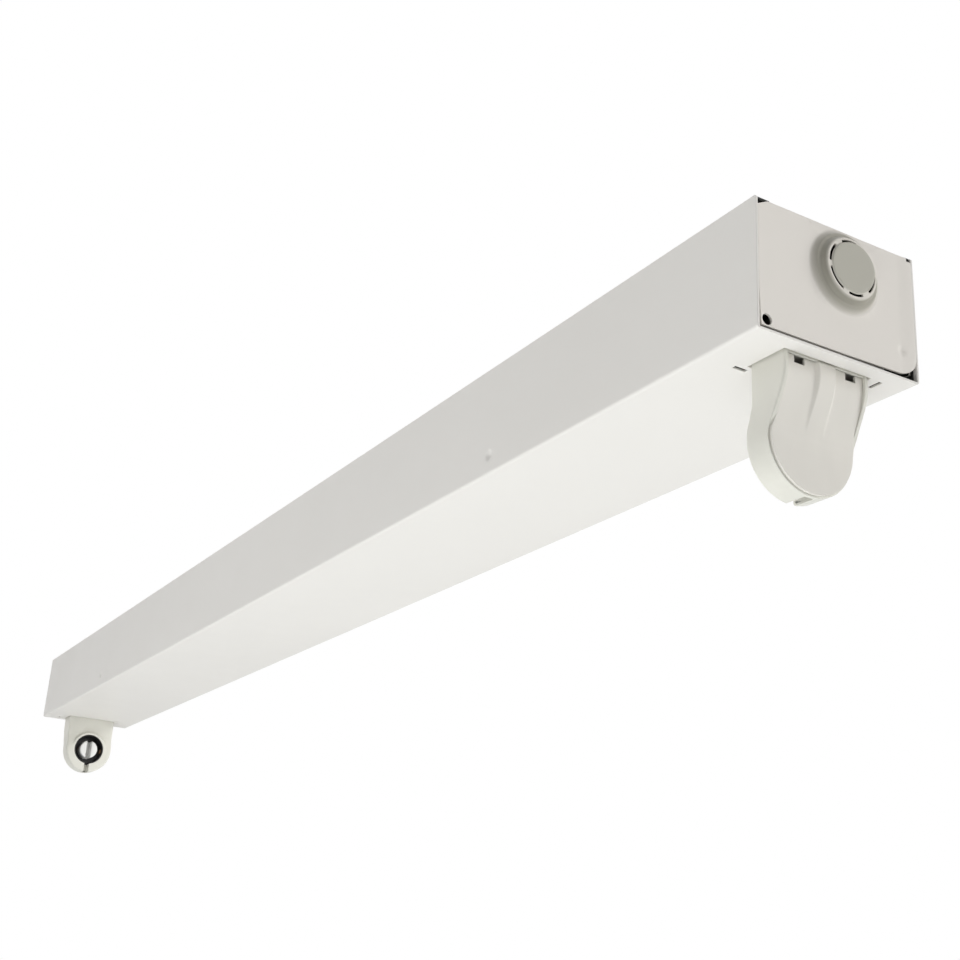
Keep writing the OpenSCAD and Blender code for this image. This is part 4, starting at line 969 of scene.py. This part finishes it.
def back_cover(end):
    """Back of the holder: rows of height, columns of width, with two pockets and their windows.

    Below the axis each row spans a circle's chord. The pockets start at the windows and run out
    where the back stops sloping, and leave a flat land between them.
    """
    arc = np.linspace(0, np.pi / 2, 30)
    window_z = BACK_TOP - WINDOW_H
    heights = stations([0, window_z, BACK_TOP, SLOPE_START, NECK_TOP], np.linspace(0, BACK_TOP, 40))
    z_lines = np.concatenate([-BACK_R * np.cos(arc)[:-1], heights])
    inner, outer = WINDOW_Y - WINDOW_W / 2, WINDOW_Y + WINDOW_W / 2
    land = LAND_HALF + np.array([-0.5, -0.25, 0, 0.2, 0.4])
    edges = np.array([inner, outer, BACK_HALF])
    filler = np.linspace(-BACK_HALF, BACK_HALF, 50)
    y_lines = stations([-land, land, -edges, edges], filler)
    straight = BACK_HALF + (BACK_R - BACK_HALF) * (1 - ramp(z_lines, 0.5, 5))
    half = np.where(z_lines < 0, np.sqrt(np.maximum(BACK_R ** 2 - z_lines ** 2, 0)), straight)
    z, y = np.meshgrid(z_lines, y_lines, indexing="ij")
    y = y / BACK_HALF * half[:, None]
    fade = np.clip((z - SLOPE_START - 0.5) / (SLOPE_H - 0.5), 0, 1)
    pocket = POCKET * ramp(np.abs(y), LAND_HALF - 0.5, LAND_HALF + 0.4) * fade
    points = np.stack([-back_depth(z) + pocket, y, z], axis=-1)
    zc, yc = cell_middles(z_lines, y_lines)
    keep = ~((zc > window_z) & (np.abs(yc) > inner) & (np.abs(yc) < outer))
    obj = new_piece(f"{end}_lampholder_back", [sheet_cells(placed(points, end), keep)])
    finish_piece(obj, [BACK], thickness=BACK_T, edge=0.12)
    dress(obj, FIXTURE, "holder", f"{end}_lampholder_cover")


def slotted_ring(profile, slot, steps=72):
    """A closed profile of radius and x carried round the axis, open at the bottom by the slot."""
    rings = []
    for r, x in profile:
        start = math.asin(slot / r)
        angle = np.linspace(start, 2 * np.pi - start, steps)
        rings.append(np.stack([np.full(steps, x), r * np.sin(angle), -r * np.cos(angle)], axis=-1))
    return swept(np.stack(rings, axis=1))


def contact_ring(end):
    """Black ring that lines the pins' groove, with its floor."""
    hub = HUB_R + 0.06
    lip = 0.12
    front, lip_back = -0.3, -0.45
    profile = [(RING_R, lip_back), (RING_R, -RING_BACK), (hub, -RING_BACK), (hub, -GROOVE_DEPTH),
               (GROOVE_R, -GROOVE_DEPTH), (GROOVE_R, lip_back), (GROOVE_R + lip, front),
               (RING_R - lip, front)]
    floor_half = SLOT + 0.02
    parts = [
        slotted_ring(profile, SLOT),
        block(-RING_BACK, -GROOVE_DEPTH, -floor_half, floor_half, -RING_R + 0.05, -hub - 0.02),
    ]
    obj = holder_piece(f"{end}_black_ring", end, parts)
    finish_piece(obj, [BLACK], edge=0.05)
    dress(obj, FIXTURE, "carrier", f"{end}_contact_carrier")


def half_moon(side):
    """One cheek of the rotor: a circle segment beside the slot, drawn in to a round front edge."""
    rings = []
    for inset, x in ROTOR_FRONT:
        r, flat = HUB_R - inset, SLOT + inset
        reach = math.acos(flat / r)
        angle = np.linspace(-reach, reach, 28)
        chord = r * math.sin(reach) * np.linspace(1, -1, 16)[1:-1]
        y = np.concatenate([r * np.cos(angle), np.full(len(chord), flat)])
        z = np.concatenate([r * np.sin(angle), chord])
        rings.append(np.stack([np.full(len(y), x), side * y, z], axis=-1))
    points = np.stack(rings, axis=1)
    rows, count = points.shape[:2]
    faces = grid_quads(rows, count, wrap_rows=True).reshape(-1, 4).tolist()
    faces.append([k * count for k in range(rows)])
    faces.append([k * count + count - 1 for k in range(rows)])
    return points, faces


def rotor(end):
    """Slotted hub that the pins turn: two half moons, the slot's floor and the thin flange."""
    flange_outer, flange_inner = HUB_R + 0.7, HUB_R - 0.2
    flange_front = -ROTOR_BACK + ROTOR_FLANGE_T
    flange = [(flange_outer, -ROTOR_BACK), (flange_outer, flange_front),
              (flange_inner, flange_front), (flange_inner, -ROTOR_BACK)]
    floor_half, floor_reach = SLOT + 0.05, 4.8
    parts = [
        half_moon(1),
        half_moon(-1),
        block(-ROTOR_BACK, -GROOVE_DEPTH, -floor_half, floor_half, -floor_reach, floor_reach),
        slotted_ring(flange, 0.001),
    ]
    obj = holder_piece(f"{end}_slotted_rotor", end, parts)
    finish_piece(obj, [ROTOR], edge=0.06, smooth_angle=45)
    dress(obj, f"{end}_socket", "rotor", f"{end}_rotor")


def grommet():
    """Rubber ring in the supply entry: a closed profile of radius and height turned about Z."""
    profile = np.array([(4.9, -0.6), (8.6, -0.6), (9.0, -1.0), (9.0, -2.0), (7.0, -2.0), (7.0, -2.6),
                        (9.0, -2.6), (9.0, -3.6), (8.6, -4.0), (4.9, -4.0), (4.5, -3.6), (4.5, -1.0)])
    angle = np.linspace(0, 2 * np.pi, 65)[:-1]
    r, z = profile[None, :, 0], profile[None, :, 1]
    angle = angle[:, None]
    points = np.stack([ENTRY_X + r * np.cos(angle), r * np.sin(angle), z + 0 * angle], axis=-1)
    quads = grid_quads(len(angle), len(profile), wrap_rows=True, wrap_columns=True)
    obj = new_piece("cable_grommet_ring", [(points, quads.reshape(-1, 4).tolist())])
    face_outwards(obj)
    finish_piece(obj, [RUBBER], edge=0.15)
    dress(obj, FIXTURE, "grommet", "cable_grommet")


for lampholder_end in ("near", "far"):
    holder_body(lampholder_end)
    back_cover(lampholder_end)
    contact_ring(lampholder_end)
    rotor(lampholder_end)
grommet()
cover_channel()
mounting_pan()

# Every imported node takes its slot's material, also where a new piece stands for it
SLOT_OF_NODE = {row["node"]: row["material_slot"] for row in frame["record"]["subparts"]}
for node, packed in frame["nodes"].items():
    coat = MATERIAL_OF_SLOT[SLOT_OF_NODE[node]]
    if not packed.material_slots:
        packed.data.materials.append(coat)
    for place_of_coat in packed.material_slots:
        place_of_coat.material = coat


# Stage, in metres but for the camera's place and aim. The camera was fitted to the box's corners

CAMERA_PLACE = Vector((521.30, -209.63, -175.76)) * MM
CAMERA_AIM = Vector((32.03, 66.20, 35.27)) * MM
CAMERA_ROLL = math.radians(3.447)
SENSOR_W, LENS = 36, 51.75
FLOOR_HALF, FLOOR_Z = 15.0, -0.6
FAR_LIGHT_ANGLE = math.radians(40)
LOW_LIGHT_Z = -0.57
LOW_LIGHT_COLOUR = (0.965, 0.99, 1.0)
# Strength of the white surroundings where they are seen, and where they only light the object
WHITE_AS_SEEN, WHITE_AS_LIGHT = 1.0, 0.21


def camera():
    """Looks up along the box from below its near end."""
    forward = (CAMERA_AIM - CAMERA_PLACE).normalized()
    right = forward.cross(Vector((0, 0, 1))).normalized()
    up = right.cross(forward)
    turned_right = right * math.cos(CAMERA_ROLL) + up * math.sin(CAMERA_ROLL)
    turned_up = turned_right.cross(forward)
    data = bpy.data.cameras.new("Camera")
    data.sensor_width = SENSOR_W
    data.lens = LENS
    data.clip_start = 0.01
    obj = add_object("Camera", data)
    axes = Matrix((turned_right, turned_up, -forward)).transposed()
    obj.matrix_world = Matrix.Translation(CAMERA_PLACE) @ axes.to_4x4()
    bpy.context.scene.camera = obj


def far_softbox(name, direction, strength):
    """A wide soft lamp, so far off that it lights the whole length evenly from a direction."""
    data = bpy.data.lights.new(name, "SUN")
    data.angle = FAR_LIGHT_ANGLE
    data.energy = strength
    obj = add_object(name, data)
    obj.visible_glossy = False
    obj.rotation_euler = (-Vector(direction)).to_track_quat("-Z", "Y").to_euler()


def low_softbox(name, x, y, width, height, power):
    """A rectangular lamp just above the floor that shines straight up, not seen by the camera."""
    data = bpy.data.lights.new(name, "AREA")
    data.shape = "RECTANGLE"
    data.size = width
    data.size_y = height
    data.energy = power
    data.color = LOW_LIGHT_COLOUR
    obj = add_object(name, data)
    obj.visible_camera = False
    obj.visible_glossy = False
    obj.location = (x, y, LOW_LIGHT_Z)
    obj.rotation_euler = (math.pi, 0, 0)


def floor():
    """A pale floor well below the batten."""
    mesh = bpy.data.meshes.new("floor")
    turns_round = ((-1, -1), (1, -1), (1, 1), (-1, 1))
    corners = [(x * FLOOR_HALF, y * FLOOR_HALF, FLOOR_Z) for x, y in turns_round]
    mesh.from_pydata(corners, [], [(0, 1, 2, 3)])
    obj = add_object("floor", mesh)
    material, nodes, links, shader, place = node_material("pale_floor", (0.82, 0.82, 0.81), 0.7)
    tone = noise(nodes, links, place, scale=3, detail=2)
    colour_between(nodes, links, tone, 0.3, 0.7, ((0.8, 0.8, 0.79), (0.84, 0.84, 0.83)), shader)
    obj.data.materials.append(material)


def world():
    """White where the camera, a reflection or a refraction looks, and softer as light."""
    scene_world = bpy.data.worlds.new("World")
    bpy.context.scene.world = scene_world
    scene_world.use_nodes = True
    nodes, links = scene_world.node_tree.nodes, scene_world.node_tree.links
    background = nodes["Background"]
    rays = nodes.new("ShaderNodeLightPath").outputs
    seen = math_node(nodes, links, "MAXIMUM", rays["Is Camera Ray"], rays["Is Glossy Ray"])
    seen = math_node(nodes, links, "MAXIMUM", seen, rays["Is Transmission Ray"])
    strength = nodes.new("ShaderNodeMapRange")
    strength.inputs["To Min"].default_value = WHITE_AS_LIGHT
    strength.inputs["To Max"].default_value = WHITE_AS_SEEN
    links.new(seen, strength.inputs["Value"])
    links.new(strength.outputs["Result"], background.inputs["Strength"])
    background.inputs["Color"].default_value = (1, 1, 1, 1)


camera()
floor()
world()
far_softbox("side_light", direction=(-0.62, -0.75, 0.22), strength=0.9)
far_softbox("end_light", direction=(0.62, 0.74, 0.26), strength=1.98)
far_softbox("back_light", direction=(-0.97, 0.2, 0.02), strength=1.0)
far_softbox("top_light", direction=(0, 0, 1), strength=0.4)
low_softbox("low_light", x=-0.05, y=0.25, width=1.3, height=0.7, power=1.6)
low_softbox("low_side_light", x=0.25, y=-0.33, width=0.9, height=0.6, power=3.2)
bpy.context.scene.view_settings.view_transform = "Standard"
